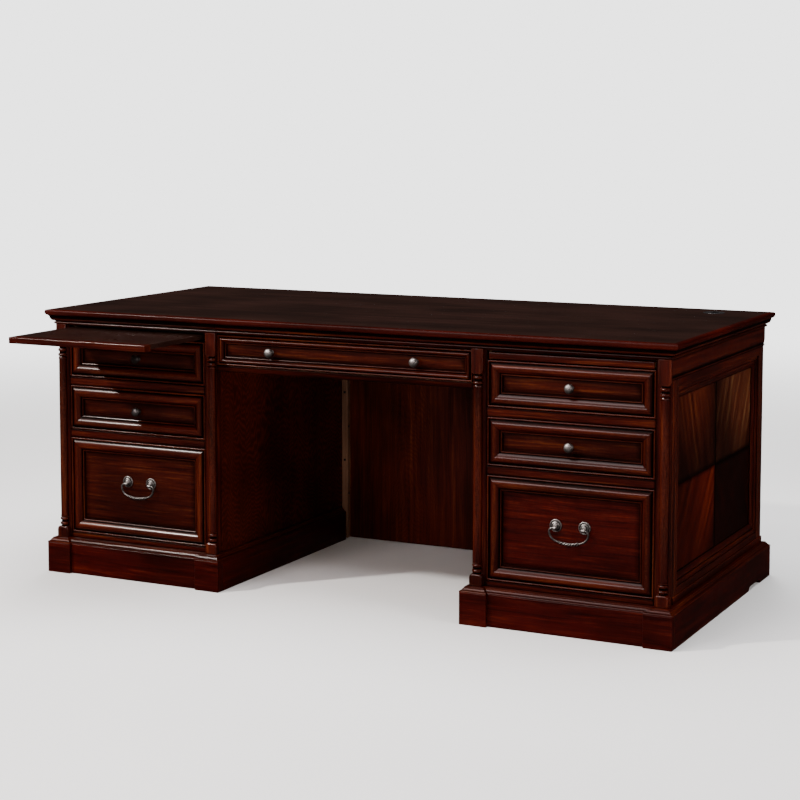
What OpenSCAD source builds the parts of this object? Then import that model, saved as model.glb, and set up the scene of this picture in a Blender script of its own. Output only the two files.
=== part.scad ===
// Double pedestal desk with pull-out writing slides, a centre drawer, four box drawers and two
// file drawers. Lengths are millimetres, +X is to the right of a person facing the drawers, +Y
// runs to the back and +Z up. The origin is on the floor, under the middle of the whole outline
// with the left writing slide pulled out.

/* [Overall size] */
// Width of the desktop
top_w = 1892; // [1800:1:2000]
// Depth of the desktop
top_d = 882; // [865:1:895]
// Height of the desktop above the floor
desk_h = 762; // [760:1:790]
// Thickness of the desktop slab
slab_t = 21; // [18:1:22]

/* [Plinth] */
// Width over both plinths
plinth_w = 1884; // [1800:1:1990]
// Depth of a plinth
plinth_d = 893; // [880:1:910]
// Height of the plain part of a plinth
plinth_h = 86; // [80:1:88]
// Height of the moulded cap on top of a plinth
cap_h = 14; // [12:1:14]
// Width of the projecting blocks at the front corners of a plinth
foot_w = 76; // [60:1:90]
// Set-back of the plinth front between its corner blocks
foot_set = 10; // [6:1:12]
// Length of the scallop cut under the rear of each outer plinth board
scallop_l = 110; // [60:1:140]

/* [Pedestals] */
// Width of one plinth, across a pedestal
ped_w = 576; // [570:1:590]
// How far a pedestal stands in from its plinth on the kneehole side
inset = 22; // [20:1:24]
// Set-back of the drawer frame from the front of the plinth
frame_set = 37; // [34:1:40]
// Width of a drawer opening
open_w = 456; // [450:1:458]
// Thickness of the case boards
board = 19; // [16:1:20]

/* [Drawers] */
// Width of the mitred moulding around a pedestal drawer front
mould_w = 41; // [34:1:44]
// Width of the mitred moulding around the centre drawer front
centre_mould_w = 26; // [22:1:28]
// Running gap beside a pedestal drawer front
gap = 1.5; // [1:0.5:2.5]
// Depth of the box drawers
box_l = 480; // [400:10:520]
// Depth of the file drawers
file_l = 560; // [480:10:600]

/* [Writing slides] */
// Width of a writing slide
slide_w = 444; // [430:1:446]
// Depth of a writing slide behind its lipping
slide_l = 420; // [380:10:460]
// How far the left writing slide is pulled out
slide_out = 287; // [0:1:290]

/* [Pulls] */
// Diameter of a round knob
knob_d = 26; // [22:1:32]
// Distance between the centre drawer's two knobs
knob_gap = 438; // [300:1:500]
// Distance between the two rosettes of a swinging pull
rosette_gap = 78; // [76:1:80]

/* [Hidden] */
$fn = 48;

cherry = "#4a1a10";
dark_cherry = "#2b1310";
veneer = "#5a2312";
drawer_wood = "#b08a5c";
cleat_wood = "#b98a62";
pewter = "#8d8a86";
steel = "#a9abad";
black = "#1c1b1b";

// Longer than anything on the desk: the reach of a cut that has to go right through.
far = 2500;

// Main planes, measured from the front of the plinth before the shift to the origin.
half_w = plinth_w / 2;
ped_in = half_w - ped_w;
ped_x = half_w - ped_w / 2;
body_in = ped_in + inset;
body_out = half_w - inset - 2;
body_back = plinth_d - inset - 1;
top_front = (plinth_d - top_d) / 2;
top_under = desk_h - slab_t;
cap_top = plinth_h + cap_h;
origin_shift = (plinth_d - max(0, slide_out - frame_set)) / 2;

// The drawer frame: its openings, its thickness and the heights of its three drawer rails.
open_x0 = ped_x - open_w / 2;
open_x1 = ped_x + open_w / 2;
front_t = 20;
frame_y = [frame_set, frame_set + front_t];
rail_z = [[cap_top, 114.5], [394, 415.5], [546, 568]];
apron_z = [613, 629];

// Bottom and top of each drawer front.
upper_z = [570, 691];
middle_z = [417.5, 543.5];
file_z = [116.5, 392];
centre_z = [631, 714];

// Mouldings that run round the case under the desktop.
cornice_z = 720;
modesty_y = 792;
modesty_t = 16;
modesty_clear = 2;
frieze_z = 665;
proud = 3;

// ---------- helpers ----------

// Moves the desk from its front datum to the shared origin.
module placed() translate([0, -origin_shift, 0]) children();

// Draws a right-hand part, or its mirror image for side = -1.
module on_side(side) mirror([side < 0 ? 1 : 0, 0, 0]) children();

// A block between two corners.
module block(a, b) translate(a) cube(b - a);

// A prism whose outline is given in X and Z, from y0 to y1.
module along_y(y0, y1) translate([0, y1, 0]) rotate([90, 0, 0]) linear_extrude(y1 - y0) children();

// A prism whose outline is given in Y and Z, from x0 to x1.
module along_x(x0, x1) translate([x0, 0, 0]) rotate([90, 0, 90]) linear_extrude(x1 - x0) children();

// Points of an arc about c, with radii r in the two directions, from angle a0 to a1.
arc_steps = 6;
function arc(c, r, a0, a1) = [for (i = [0:arc_steps])
    let (a = a0 + (a1 - a0) * i / arc_steps) [c[0] + r[0] * cos(a), c[1] + r[1] * sin(a)]];

// A symmetrical outline from a to b; pts are [inset, height], from bottom to top.
function two_sided(a, b, pts) = concat([for (p = pts) [a + p[0], p[1]]],
    [for (i = [len(pts) - 1:-1:0]) [b - pts[i][0], pts[i][1]]]);

// Raises a profile of [inset, height] points by z.
function raised(pts, z) = [for (p = pts) [p[0], p[1] + z]];

// A rectangular block whose four sides all follow one profile and meet in true mitres.
module moulded_block(x, y, pts) intersection() {
    along_y(y[0], y[1]) polygon(two_sided(x[0], x[1], pts));
    along_x(x[0], x[1]) polygon(two_sided(y[0], y[1], pts));
}

// The top and bottom members of a picture-frame moulding that faces -Y, m wide around a
// rectangle w by h; pts are [inset, depth].
module mitred_pair(w, h, pts, m) for (flip = [0, 1]) mirror([0, 0, flip]) intersection() {
    translate([0, 0, -h / 2]) along_x(-w / 2, w / 2) polygon([for (p = pts) [p[1], p[0]]]);
    along_y(-far, far) polygon(two_sided(-w / 2, w / 2, [[0, -h / 2], [m, m - h / 2]]));
}

// A complete mitred moulding.
module mitred_frame(w, h, pts, m) {
    mitred_pair(w, h, pts, m);
    rotate([0, 90, 0]) mitred_pair(h, w, pts, m);
}

// ---------- desktop ----------

top_edge = [[9.5, 0], [9, 2], [6.5, 4.5], [3, 6.5], [1, 9], [0, 12], [0, slab_t - 5.5],
    [1, slab_t - 2.7], [2.9, slab_t - 0.9], [5.5, slab_t]];
grommet = [797, 787];
grommet_r = 25.5;
grommet_fit = 0.3;
liner_t = 2;
liner_flange = 5;
flange_sink = 1;
cap_seat = 5;

module at_grommet(z) placed() translate([grommet[0], grommet[1], z]) children();

module desktop() color(dark_cherry) difference() {
    placed() moulded_block([-top_w / 2, top_w / 2], [top_front, top_front + top_d],
                           raised(top_edge, top_under));
    at_grommet(top_under - 1) cylinder(r = grommet_r, h = slab_t + 2);
    at_grommet(desk_h - flange_sink) cylinder(r = grommet_r + liner_flange + grommet_fit, h = slab_t);
}

// Cable grommet: a sleeve whose flange is half sunk in the top, opened out above to seat its cap.
module grommet_liner() color(black) at_grommet(top_under) difference() {
    union() {
        cylinder(r = grommet_r - grommet_fit, h = slab_t);
        translate([0, 0, slab_t - flange_sink])
            cylinder(r = grommet_r + liner_flange, h = liner_t);
    }
    translate([0, 0, -1]) cylinder(r = grommet_r - grommet_fit - liner_t, h = slab_t);
    translate([0, 0, slab_t - cap_seat]) cylinder(r = grommet_r - liner_t + 1, h = far);
}

// Grommet cap: a disc with a round-ended cable mouth that runs out through its rear edge.
mouth_r = 8;
module grommet_cap() color(black) at_grommet(desk_h - cap_seat + 0.4) difference() {
    cylinder(r = grommet_r - liner_t, h = cap_seat);
    translate([-mouth_r, mouth_r, -1]) cube([2 * mouth_r, far, cap_seat + 3]);
    translate([0, mouth_r, -1]) cylinder(r = mouth_r, h = cap_seat + 3);
}

// ---------- cornice and frieze ----------

// The cornice runs round under the top in two beads and a cove.
cornice_profile = concat([[10, 0], [9, 1.5], [8.5, 4], [9, 6.5], [10.5, 8], [10.5, 9.5], [6, 10.5],
    [3, 12.5], [1.5, 15.5], [0, 16.5]], [[0, top_under - cornice_z]]);
cornice_out = 17;
cornice_front = 22;
cornice_split = body_in - 7;
cornice_gap = 1;

module cornice_ring(set) difference() {
    moulded_block([-body_out - cornice_out, body_out + cornice_out],
                  [frame_set - cornice_front + set, body_back + cornice_out - 2 - set],
                  raised(cornice_profile, cornice_z));
    block([-body_out, frame_set, 0], [body_out, body_back, far]);
}

module pedestal_cornice(side) color(cherry) placed() on_side(side) intersection() {
    cornice_ring(0);
    block([cornice_split, -far, 0], [far, far, far]);
}

module centre_cornice() color(cherry) placed() intersection() {
    cornice_ring(1.5);
    block([cornice_gap - cornice_split, -far, 0], [cornice_split - cornice_gap, far, far]);
}

// Frieze: a proud band with a bead under it, on the outer side and the back.
frieze_profile = concat([[2, 0], [0.5, 3], [0.5, 6], [2, 9], [1.5, 14], [0, 18]],
    [[0, cornice_z - frieze_z]]);
module frieze(side) color(cherry) placed() on_side(side) difference() {
    moulded_block([body_in, body_out + proud], [frame_set, body_back + proud],
                  raised(frieze_profile, frieze_z));
    block([0, 0, 0], [body_out, body_back, far]);
    block([0, 0, 0], [body_in, far, far]);
}

// ---------- pedestal case ----------

// Outer side: a board with a panel opening, a groove round it and a mitred inner moulding.
// A proud band runs along the foot of the side and of the back.
side_y = [104, 824];
side_z = [134, 645];
side_mould = 34;
side_mould_t = 14;
groove_w = 2.5;
groove_t = 1.5;
groove_set = 17;
band_h = 18;
band_y = frame_set + 30;

// Section of the moulding in a side frame: a round nose that falls in steps to the panel.
side_profile = concat([[0, side_mould_t], [0, 0], [2, 0], [2, 1.5]],
    [for (a = [0:15:90]) [4 + 9 * sin(a), 3 + 4 * (1 - cos(a)) - 1.5 * sin(a)]],
    [[15, 8], [20, 7], [24, 8], [28, 11], [side_mould, side_mould_t]]);

module side_groove() difference() {
    block([body_out - groove_t, side_y[0] - groove_set - groove_w, side_z[0] - groove_set],
          [far, side_y[1] + groove_set + groove_w, frieze_z]);
    block([0, side_y[0] - groove_set, side_z[0] - groove_set + groove_w],
          [far, side_y[1] + groove_set, far]);
}

module side_frame(side) color(cherry) placed() on_side(side) {
    difference() {
        block([body_out - board, frame_y[1], cap_top], [body_out, body_back, top_under]);
        block([0, side_y[0], side_z[0]], [far, side_y[1], side_z[1]]);
        side_groove();
    }
    translate([body_out, (side_y[0] + side_y[1]) / 2, (side_z[0] + side_z[1]) / 2])
        rotate([0, 0, 90])
            mitred_frame(side_y[1] - side_y[0], side_z[1] - side_z[0], side_profile, side_mould);
    block([body_out, band_y, cap_top], [body_out + proud, body_back + proud, cap_top + band_h]);
    block([body_in, body_back, cap_top], [body_out, body_back + proud, cap_top + band_h]);
}

// Quartered panel: four leaves of veneered board that meet in the middle of the opening.
leaf_t = 5;
leaf_gap = 0.3;
module side_panel(side) color(veneer) placed() on_side(side) {
    x = body_out - side_mould_t;
    mid = [(side_y[0] + side_y[1]) / 2, (side_z[0] + side_z[1]) / 2];
    ys = [[side_y[0] + leaf_gap, mid[0] - leaf_gap / 2], [mid[0] + leaf_gap / 2, side_y[1] - leaf_gap]];
    zs = [[side_z[0] + leaf_gap, mid[1] - leaf_gap / 2], [mid[1] + leaf_gap / 2, side_z[1] - leaf_gap]];
    for (y = ys, z = zs) block([x - leaf_t, y[0], z[0]], [x, y[1], z[1]]);
}

kneehole_t = 16;
module kneehole_side(side) color(veneer) placed() on_side(side)
    block([body_in, frame_y[1], cap_top], [body_in + kneehole_t, body_back - board, top_under]);

module pedestal_back(side) color(cherry) placed() on_side(side)
    block([body_in, body_back - board, cap_top], [body_out - board, body_back, top_under]);

// ---------- writing slides ----------

slide_z = [694, 712];
slide_t = 13;
lip_d = 29;
lip_r = 3;
slide_fit = 0.7;

module slide_place(side) placed() on_side(side)
    translate([ped_x, side < 0 ? frame_set - slide_out : frame_set, 0]) children();

module slide_board(side) color(dark_cherry) slide_place(side)
    block([-slide_w / 2, lip_d, slide_z[1] - slide_t], [slide_w / 2, lip_d + slide_l, slide_z[1]]);

// Hardwood lipping with a rounded front edge, deeper than the board.
module slide_lipping(side) color(cherry) slide_place(side) along_x(-slide_w / 2, slide_w / 2)
    polygon(concat([[lip_d, slide_z[0]], [lip_d, slide_z[1]]],
        arc([lip_r, slide_z[1] - lip_r], [lip_r, lip_r], 90, 180),
        arc([lip_r, slide_z[0] + lip_r], [lip_r, lip_r], 180, 270)));

// ---------- drawer frame and posts ----------

// Two stiles, three drawer rails, a top rail, and a rail behind the lipping under each slide.
slide_rail_y = [frame_set + lip_d + 2, frame_set + lip_d + 32];
slide_floor = slide_z[1] - slide_t - 0.5;
// The rails' shoulders stand a hairline off the stiles.
shoulder = 0.2;
module front_frame(side) color(cherry) placed() on_side(side) {
    for (x = [[body_in, open_x0], [open_x1, body_out]])
        block([x[0], frame_y[0], cap_top], [x[1], frame_y[1], top_under]);
    for (z = concat(rail_z, [[slide_z[1] + 3, top_under]]))
        block([open_x0 + shoulder, frame_y[0], z[0]], [open_x1 - shoulder, frame_y[1], z[1]]);
    block([body_in + kneehole_t, slide_rail_y[0], upper_z[1] + 1],
          [body_out - board, slide_rail_y[1], slide_floor]);
}

// Front posts: a chamfered block, two rings, a half column, two rings and a shouldered foot.
post_w = 33;
post_d = 10;
post_z = [654, cornice_z];
post_chamfer = [5, 8];
column_r = 12;
column_z = [162, 620];
ring_r = 14;
ring_t = 4;
ring_zs = [645, 631, 153, 139];
shoe_w = 37.5;
shoe_d = 14;
shoe_z = [cap_top, cap_top + 31];
shoe_r = 10;

module ring(z) translate([0, 0, z]) rotate_extrude() {
    translate([ring_r - ring_t, 0]) circle(r = ring_t);
    translate([0, -ring_t]) square([ring_r - ring_t, 2 * ring_t]);
}

module post_block() along_y(-post_d, 0) polygon(two_sided(-post_w / 2, post_w / 2,
    [[post_chamfer[0], post_z[0]], [0, post_z[0] + post_chamfer[1]], [0, post_z[1]]]));

module post_column() intersection() {
    block([-ring_r, -ring_r, shoe_z[1] - 1], [ring_r, 0, post_z[0]]);
    union() {
        for (z = ring_zs) ring(z);
        cylinder(r = column_r - 1.5, h = post_z[0]);
        translate([0, 0, column_z[0]]) cylinder(r = column_r, h = column_z[1] - column_z[0]);
        for (z = [column_z[0] - 3, column_z[1]]) translate([0, 0, z]) cylinder(r = column_r + 1, h = 3);
    }
}

// The foot of a post, rounded at its shoulders on both sides and at the front.
module post_shoe() intersection() {
    along_y(-shoe_d, 0) polygon(concat([[-shoe_w / 2, shoe_z[0]], [shoe_w / 2, shoe_z[0]]],
        arc([shoe_w / 2 - 8, shoe_z[1] - shoe_r], [8, shoe_r], 0, 90),
        arc([8 - shoe_w / 2, shoe_z[1] - shoe_r], [8, shoe_r], 90, 180)));
    along_x(-shoe_w, shoe_w) polygon(concat([[0, shoe_z[1]], [0, shoe_z[0]], [-shoe_d, shoe_z[0]]],
        arc([6 - shoe_d, shoe_z[1] - shoe_r], [6, shoe_r], 180, 90)));
}

module posts(side) color(cherry) placed() on_side(side)
    for (x = [body_in + post_w / 2, 2 * ped_x - body_in - post_w / 2]) translate([x, frame_set, 0]) {
        post_block();
        post_column();
        post_shoe();
    }

// ---------- plinth ----------

scallop_y = 680;
scallop_r = 11;
module scallop() along_x(half_w - board - 1, half_w + 1) polygon(concat([[scallop_y, -1]],
    arc([scallop_y + scallop_r, 0], [scallop_r, scallop_r], 180, 90),
    arc([scallop_y + scallop_l - scallop_r, 0], [scallop_r, scallop_r], 90, 0),
    [[scallop_y + scallop_l, -1]]));

// Where the kneehole side of a plinth makes way for the modesty panel and its cleat.
slot_y = [757, modesty_y + modesty_t + 1];
module modesty_slot() block([ped_in - 1, slot_y[0], -1],
                            [max(ped_in + board, body_in) + cap_bearing + 1, slot_y[1], far]);

module plinth(side) color(cherry) placed() on_side(side) difference() {
    block([ped_in, foot_set, 0], [half_w, plinth_d, plinth_h]);
    block([ped_in + board, foot_set + board, -1], [half_w - board, plinth_d - board, far]);
    modesty_slot();
    scallop();
}

// Blocks that stand forward at the two front corners of a plinth.
foot_xs = [ped_in, half_w - foot_w];
module corner_blocks(side) color(cherry) placed() on_side(side) for (x = foot_xs)
    block([x, 0, 0], [x + foot_w, foot_set, plinth_h]);

// Cap: an ogee moulding that breaks forward over the corner blocks.
cap_profile = concat([[0, 0], [0, 2.5], [1.5, 4], [4, 5], [6, 6.5], [7.5, 9.5], [9, 10.5]],
    [[10, cap_h - 1], [12, cap_h]]);
cap_bearing = 1;
module plinth_cap(side) color(cherry) placed() on_side(side) difference() {
    union() {
        moulded_block([ped_in, half_w], [foot_set, plinth_d], raised(cap_profile, plinth_h));
        for (x = foot_xs)
            moulded_block([x, x + foot_w], [0, frame_y[1]], raised(cap_profile, plinth_h));
    }
    block([body_in + cap_bearing, frame_set + cap_bearing, 0],
          [body_out - cap_bearing, body_back - cap_bearing, far]);
    modesty_slot();
}

// ---------- runners and guides ----------

// Each drawer carries a bar on each side that runs in a C-shaped channel.
bar_t = 10;
bar_h = 23;
channel_d = 8;
channel_h = bar_h + 1;
channel_t = 1.5;
runner_y = frame_y[1] + 5;
runner_short = 5;
packer_h = 40;
function bar_z(z) = (z[0] + z[1]) / 2;

// A channel of length l along Y that opens toward +X, its back on x = 0.
module channel(l) difference() {
    translate([0, 0, -channel_h / 2 - channel_t]) cube([channel_d, l, channel_h + 2 * channel_t]);
    translate([channel_t, -1, -channel_h / 2]) cube([channel_d, l + 2, channel_h]);
}

// Runners for one drawer: packing blocks on the case sides, with channels between them.
module runners(z, l) translate([0, runner_y, bar_z(z)]) {
    for (x = [[body_in + kneehole_t, open_x0], [open_x1, body_out - board]])
        block([x[0], 0, -packer_h / 2], [x[1], l, packer_h / 2]);
    translate([open_x0, 0, 0]) channel(l);
    translate([open_x1, 0, 0]) mirror([1, 0, 0]) channel(l);
}

// Grooved guides for a writing slide, one on each side; the floor of the groove stops short of
// the rail under the slide.
guide_over = 10;
guide_under = 8;
guide_lap = [20, 14];
module slide_guides() intersection() {
    block([body_in + kneehole_t, 0, 0], [body_out - board, far, far]);
    for (flip = [0, 1]) translate([flip * 2 * ped_x, 0, 0]) mirror([flip, 0, 0]) difference() {
        block([0, runner_y, slide_z[0] - guide_under],
              [open_x0 + guide_lap[0], runner_y + slide_l + guide_over, slide_z[1] + guide_over]);
        block([ped_x - slide_w / 2 - slide_fit, 0, slide_floor], [far, far, slide_z[1] + slide_fit]);
        block([open_x0 + guide_lap[1], 0, slide_z[1]], [far, far, far]);
        block([0, 0, 0], [far, slide_rail_y[1], slide_floor + 0.1]);
    }
}

module guides(side) color(steel) placed() on_side(side) {
    runners(upper_z, box_l - runner_short);
    runners(middle_z, box_l - runner_short);
    runners(file_z, file_l - runner_short);
    slide_guides();
}

module centre_guides() color(steel) placed() for (side = [-1, 1]) on_side(side)
    translate([body_in, runner_y, bar_z(centre_z)]) mirror([1, 0, 0]) channel(box_l - runner_short);

// ---------- kneehole ----------

module kneehole_rails() color(cherry) placed() for (z = [apron_z, [centre_z[1] + 2, top_under]])
    block([-body_in, frame_y[0], z[0]], [body_in, frame_y[1], z[1]]);

module modesty_panel() color(veneer) placed()
    block([-body_in, modesty_y, modesty_clear], [body_in, modesty_y + modesty_t, top_under]);

// Corner battens that hold the modesty panel, screwed both ways.
cleat = 19;
module cleats() color(cleat_wood) placed() for (side = [-1, 1]) on_side(side)
    block([body_in - cleat, modesty_y - cleat, modesty_clear], [body_in, modesty_y, top_under]);

screw_head = 1.2;
side_screw_z = [142, 353, 564];
front_screw_z = [248, 461, 672];
module screw() cylinder(d1 = 5, d2 = 8, h = screw_head);
module cleat_screws() color(black) placed() for (side = [-1, 1]) on_side(side) {
    for (z = side_screw_z)
        translate([body_in - cleat - screw_head, modesty_y - cleat / 2, z]) rotate([0, 90, 0]) screw();
    for (z = front_screw_z)
        translate([body_in - cleat / 2, modesty_y - cleat - screw_head, z]) rotate([-90, 0, 0]) screw();
}

// ---------- drawers ----------

// Section of a drawer moulding m wide: outer bead, quirk, wide swell, inner step, panel.
panel_set = 12;
swell = 6.5;
function drawer_profile(m) = concat([[0, front_t], [0, 1], [1, 0], [4, 0], [5, 1], [5, 2.5]],
    [for (t = [0:0.1:1]) [6.5 + (m - 13.5) * t, 2.5 + 2.5 * t - swell * sin(180 * t)]],
    [[m - 7, 7.5], [m - 3, 7.5], [m - 3, 9.5], [m, panel_set], [m, front_t]]);

// A front w wide between heights z, with a mitred moulding around a flat recessed panel.
module drawer_front(cx, w, z, m) color(cherry) placed()
    translate([cx, frame_set, (z[0] + z[1]) / 2]) {
        h = z[1] - z[0];
        mitred_frame(w, h, drawer_profile(m), m);
        block([m - w / 2, panel_set, m - h / 2], [w / 2 - m, front_t, h / 2 - m]);
    }

// An open box behind a front, w wide and l deep between heights z, on two running bars.
box_t = 12;
floor_z = [8, 14];
module drawer_box(cx, w, z, l, mid) color(drawer_wood) placed() translate([cx, frame_y[1], 0]) {
    difference() {
        block([-w / 2, 0, z[0]], [w / 2, l, z[1]]);
        for (hollow = [[z[0] - 1, z[0] + floor_z[0]], [z[0] + floor_z[1], z[1] + 1]])
            block([box_t - w / 2, box_t, hollow[0]], [w / 2 - box_t, l - box_t, hollow[1]]);
    }
    for (side = [-1, 1]) on_side(side)
        block([w / 2, 6, mid - bar_h / 2], [w / 2 + bar_t, l, mid + bar_h / 2]);
}

// Every box leaves room beside it for the runners, and above it for the rail over it.
box_gap = 13;
box_under = 8;
box_over = 15;
file_under = 10;
file_over = 20;
centre_w = 2 * (body_in - 3);
module pedestal_front(side, z) drawer_front(side * ped_x, open_w - 2 * gap, z, mould_w);
module pedestal_box(side, z) drawer_box(side * ped_x, open_w - 2 * box_gap,
    [z[0] + box_under, z[1] - box_over], box_l, bar_z(z));
module file_box(side) drawer_box(side * ped_x, open_w - 2 * box_gap,
    [file_z[0] + file_under, file_z[1] - file_over], file_l, bar_z(file_z));
module centre_front() drawer_front(0, centre_w, centre_z, centre_mould_w);
module centre_box() drawer_box(0, centre_w - 2 * box_gap,
    [centre_z[0] + 6, centre_z[1] - box_over], box_l, bar_z(centre_z));

// ---------- pulls ----------

panel_y = frame_set + panel_set;

// A round knob that stands on the drawer panel and faces -Y; its profile is drawn 26 mm wide.
knob_profile = [[0, 0], [7, 0], [7, 1.5], [5, 3], [4, 6], [4.5, 9.5], [9, 11.5], [12.3, 14.5],
    [13, 17.5], [12, 21], [9, 23.8], [5, 25.5], [0, 26]];
module knob(x, z) color(pewter) placed() translate([x, panel_y, z]) rotate([90, 0, 0])
    scale(knob_d / 26) rotate_extrude() polygon(knob_profile);

// Two domed rosettes, each with a post that is bored for the swinging bail.
rosette_z = 275.5;
rosette_profile = [[0, 0], [16.5, 0], [16.5, 2], [15.8, 3], [14.2, 3.3], [12.8, 2.6], [11.6, 2.8],
    [10, 5], [7.5, 6.4], [4, 7.2], [0, 7.4]];
lug_r = 4.5;
pivot_z = rosette_z - 5;
pivot_y = panel_y - 11.5;
bail_r = 2.8;
pin_r = 2;
pin_fit = 0.4;

module rosettes(side) color(pewter) placed() translate([side * ped_x, 0, 0])
    for (x = [-1, 1] * rosette_gap / 2) difference() {
        union() {
            translate([x, panel_y, rosette_z]) rotate([90, 0, 0]) rotate_extrude() polygon(rosette_profile);
            translate([x, panel_y, pivot_z]) rotate([90, 0, 0]) cylinder(r = lug_r, h = panel_y - pivot_y);
            translate([x - lug_r, pivot_y, pivot_z]) rotate([0, 90, 0]) cylinder(r = lug_r, h = 2 * lug_r);
        }
        translate([x - 2 * lug_r, pivot_y, pivot_z]) rotate([0, 90, 0])
            cylinder(r = pin_r + pin_fit, h = 4 * lug_r);
    }

// A round bar of radius bar bent in the XZ plane: centre c, bend radius r, from angle a0, sweeping da.
module bent(c, r, a0, da, bar) translate([c[0], 0, c[1]]) rotate([90, 0, 0])
    rotate([0, 0, a0]) rotate_extrude(angle = da) translate([r, 0]) circle(r = bar);

// Swinging bail: a wide belly whose middle is a thicker rope between two balls, a hip on each side,
// a tight corner bend over it, and the pins that ride in the rosettes' posts.
corner_r = 9;
corner_x = rosette_gap / 2 + 5;
hip_r = 24;
hip_x = corner_x + corner_r - hip_r;
hip_z = pivot_z - corner_r;
drop = 38.5;
fall = drop - corner_r;
belly_r = (hip_x * hip_x + fall * fall - hip_r * hip_r) / (2 * (fall - hip_r));
belly_z = pivot_z - drop + belly_r;
hip_a = asin(hip_x / (belly_r - hip_r));
rope_a = 14.5;
rope_r = 4;
ball_r = 4.6;
joint_r = 3.1;
pin_l = 11.5;
pin_end = corner_x - pin_l;
neck_clear = 0.1;
neck = corner_x - rosette_gap / 2 - lug_r - neck_clear;
// A ball on the belly at angle a from its lowest point, its poles along the bar.
module bar_ball(a, r) translate([belly_r * sin(a), 0, belly_z - belly_r * cos(a)])
    rotate([0, 90 - a, 0]) sphere(r = r);

module bail(side) color(pewter) placed() translate([side * ped_x, pivot_y, 0]) {
    bent([0, belly_z], belly_r, -90 - rope_a, 2 * rope_a, rope_r);
    for (flip = [0, 1]) mirror([flip, 0, 0]) {
        bar_ball(rope_a, ball_r);
        bent([0, belly_z], belly_r, rope_a - 90, hip_a - rope_a, bail_r);
        bar_ball(hip_a, joint_r);
        bent([hip_x, hip_z], hip_r, hip_a - 90, 90 - hip_a, bail_r);
        translate([corner_x + corner_r, 0, hip_z]) sphere(r = joint_r);
        bent([corner_x, hip_z], corner_r, 0, 90, bail_r);
        translate([corner_x - neck, 0, pivot_z]) rotate([0, 90, 0]) cylinder(r = bail_r, h = neck);
        translate([pin_end, 0, pivot_z]) rotate([0, 90, 0]) cylinder(r = pin_r, h = pin_l);
    }
}

desktop();
grommet_liner();
grommet_cap();
pedestal_cornice(-1);  // left_cornice
centre_cornice();
pedestal_cornice(1);  // right_cornice
frieze(-1);  // left_frieze
frieze(1);  // right_frieze
side_frame(-1);  // left_side_frame
side_frame(1);  // right_side_frame
side_panel(-1);  // left_side_panel
side_panel(1);  // right_side_panel
kneehole_side(-1);  // left_kneehole_side
kneehole_side(1);  // right_kneehole_side
pedestal_back(-1);  // left_back
pedestal_back(1);  // right_back
front_frame(-1);  // left_front_frame
front_frame(1);  // right_front_frame
posts(-1);  // left_posts
posts(1);  // right_posts
plinth(-1);  // left_plinth
plinth(1);  // right_plinth
corner_blocks(-1);  // left_corner_blocks
corner_blocks(1);  // right_corner_blocks
plinth_cap(-1);  // left_plinth_cap
plinth_cap(1);  // right_plinth_cap
guides(-1);  // left_guides
guides(1);  // right_guides
centre_guides();
kneehole_rails();
modesty_panel();
cleats();
cleat_screws();
slide_board(-1);  // left_slide_board
slide_lipping(-1);  // left_slide_lipping
slide_board(1);  // right_slide_board
slide_lipping(1);  // right_slide_lipping
pedestal_front(-1, upper_z);  // left_upper_front
pedestal_box(-1, upper_z);  // left_upper_box
knob(-ped_x, bar_z(upper_z));  // left_upper_knob
pedestal_front(-1, middle_z);  // left_middle_front
pedestal_box(-1, middle_z);  // left_middle_box
knob(-ped_x, bar_z(middle_z));  // left_middle_knob
pedestal_front(-1, file_z);  // left_file_front
file_box(-1);  // left_file_box
rosettes(-1);  // left_file_rosettes
bail(-1);  // left_file_bail
centre_front();
centre_box();
for (x = [-1, 1] * knob_gap / 2) knob(x, bar_z(centre_z));  // centre_knobs
pedestal_front(1, upper_z);  // right_upper_front
pedestal_box(1, upper_z);  // right_upper_box
knob(ped_x, bar_z(upper_z));  // right_upper_knob
pedestal_front(1, middle_z);  // right_middle_front
pedestal_box(1, middle_z);  // right_middle_box
knob(ped_x, bar_z(middle_z));  // right_middle_knob
pedestal_front(1, file_z);  // right_file_front
file_box(1);  // right_file_box
rosettes(1);  // right_file_rosettes
bail(1);  // right_file_bail
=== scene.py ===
import math
import random

import bmesh
import bpy
from mathutils import Matrix, Vector


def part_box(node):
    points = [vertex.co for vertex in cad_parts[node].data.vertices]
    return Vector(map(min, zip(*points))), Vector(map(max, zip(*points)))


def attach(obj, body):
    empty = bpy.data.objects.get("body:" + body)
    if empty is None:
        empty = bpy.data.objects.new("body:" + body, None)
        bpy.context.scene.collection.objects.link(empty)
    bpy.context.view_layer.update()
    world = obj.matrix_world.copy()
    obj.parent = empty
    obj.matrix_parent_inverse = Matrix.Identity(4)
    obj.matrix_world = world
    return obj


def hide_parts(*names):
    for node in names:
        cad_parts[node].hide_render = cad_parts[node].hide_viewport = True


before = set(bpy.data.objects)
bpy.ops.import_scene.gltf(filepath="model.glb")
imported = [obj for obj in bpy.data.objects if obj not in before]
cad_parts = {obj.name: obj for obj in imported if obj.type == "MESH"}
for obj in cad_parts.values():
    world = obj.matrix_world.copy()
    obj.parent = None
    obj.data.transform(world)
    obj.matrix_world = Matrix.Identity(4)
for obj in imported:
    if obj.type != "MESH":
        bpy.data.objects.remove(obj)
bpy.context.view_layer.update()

MM = 0.001
X, Y, Z = Vector((1, 0, 0)), Vector((0, 1, 0)), Vector((0, 0, 1))
# Edges bent more than SHARP aren't shaded smooth, and SURROUND is the strength of the backdrop.
SHARP = math.radians(33)
SURROUND = 3.0
LEVELS = ("file", "middle", "upper")
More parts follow.
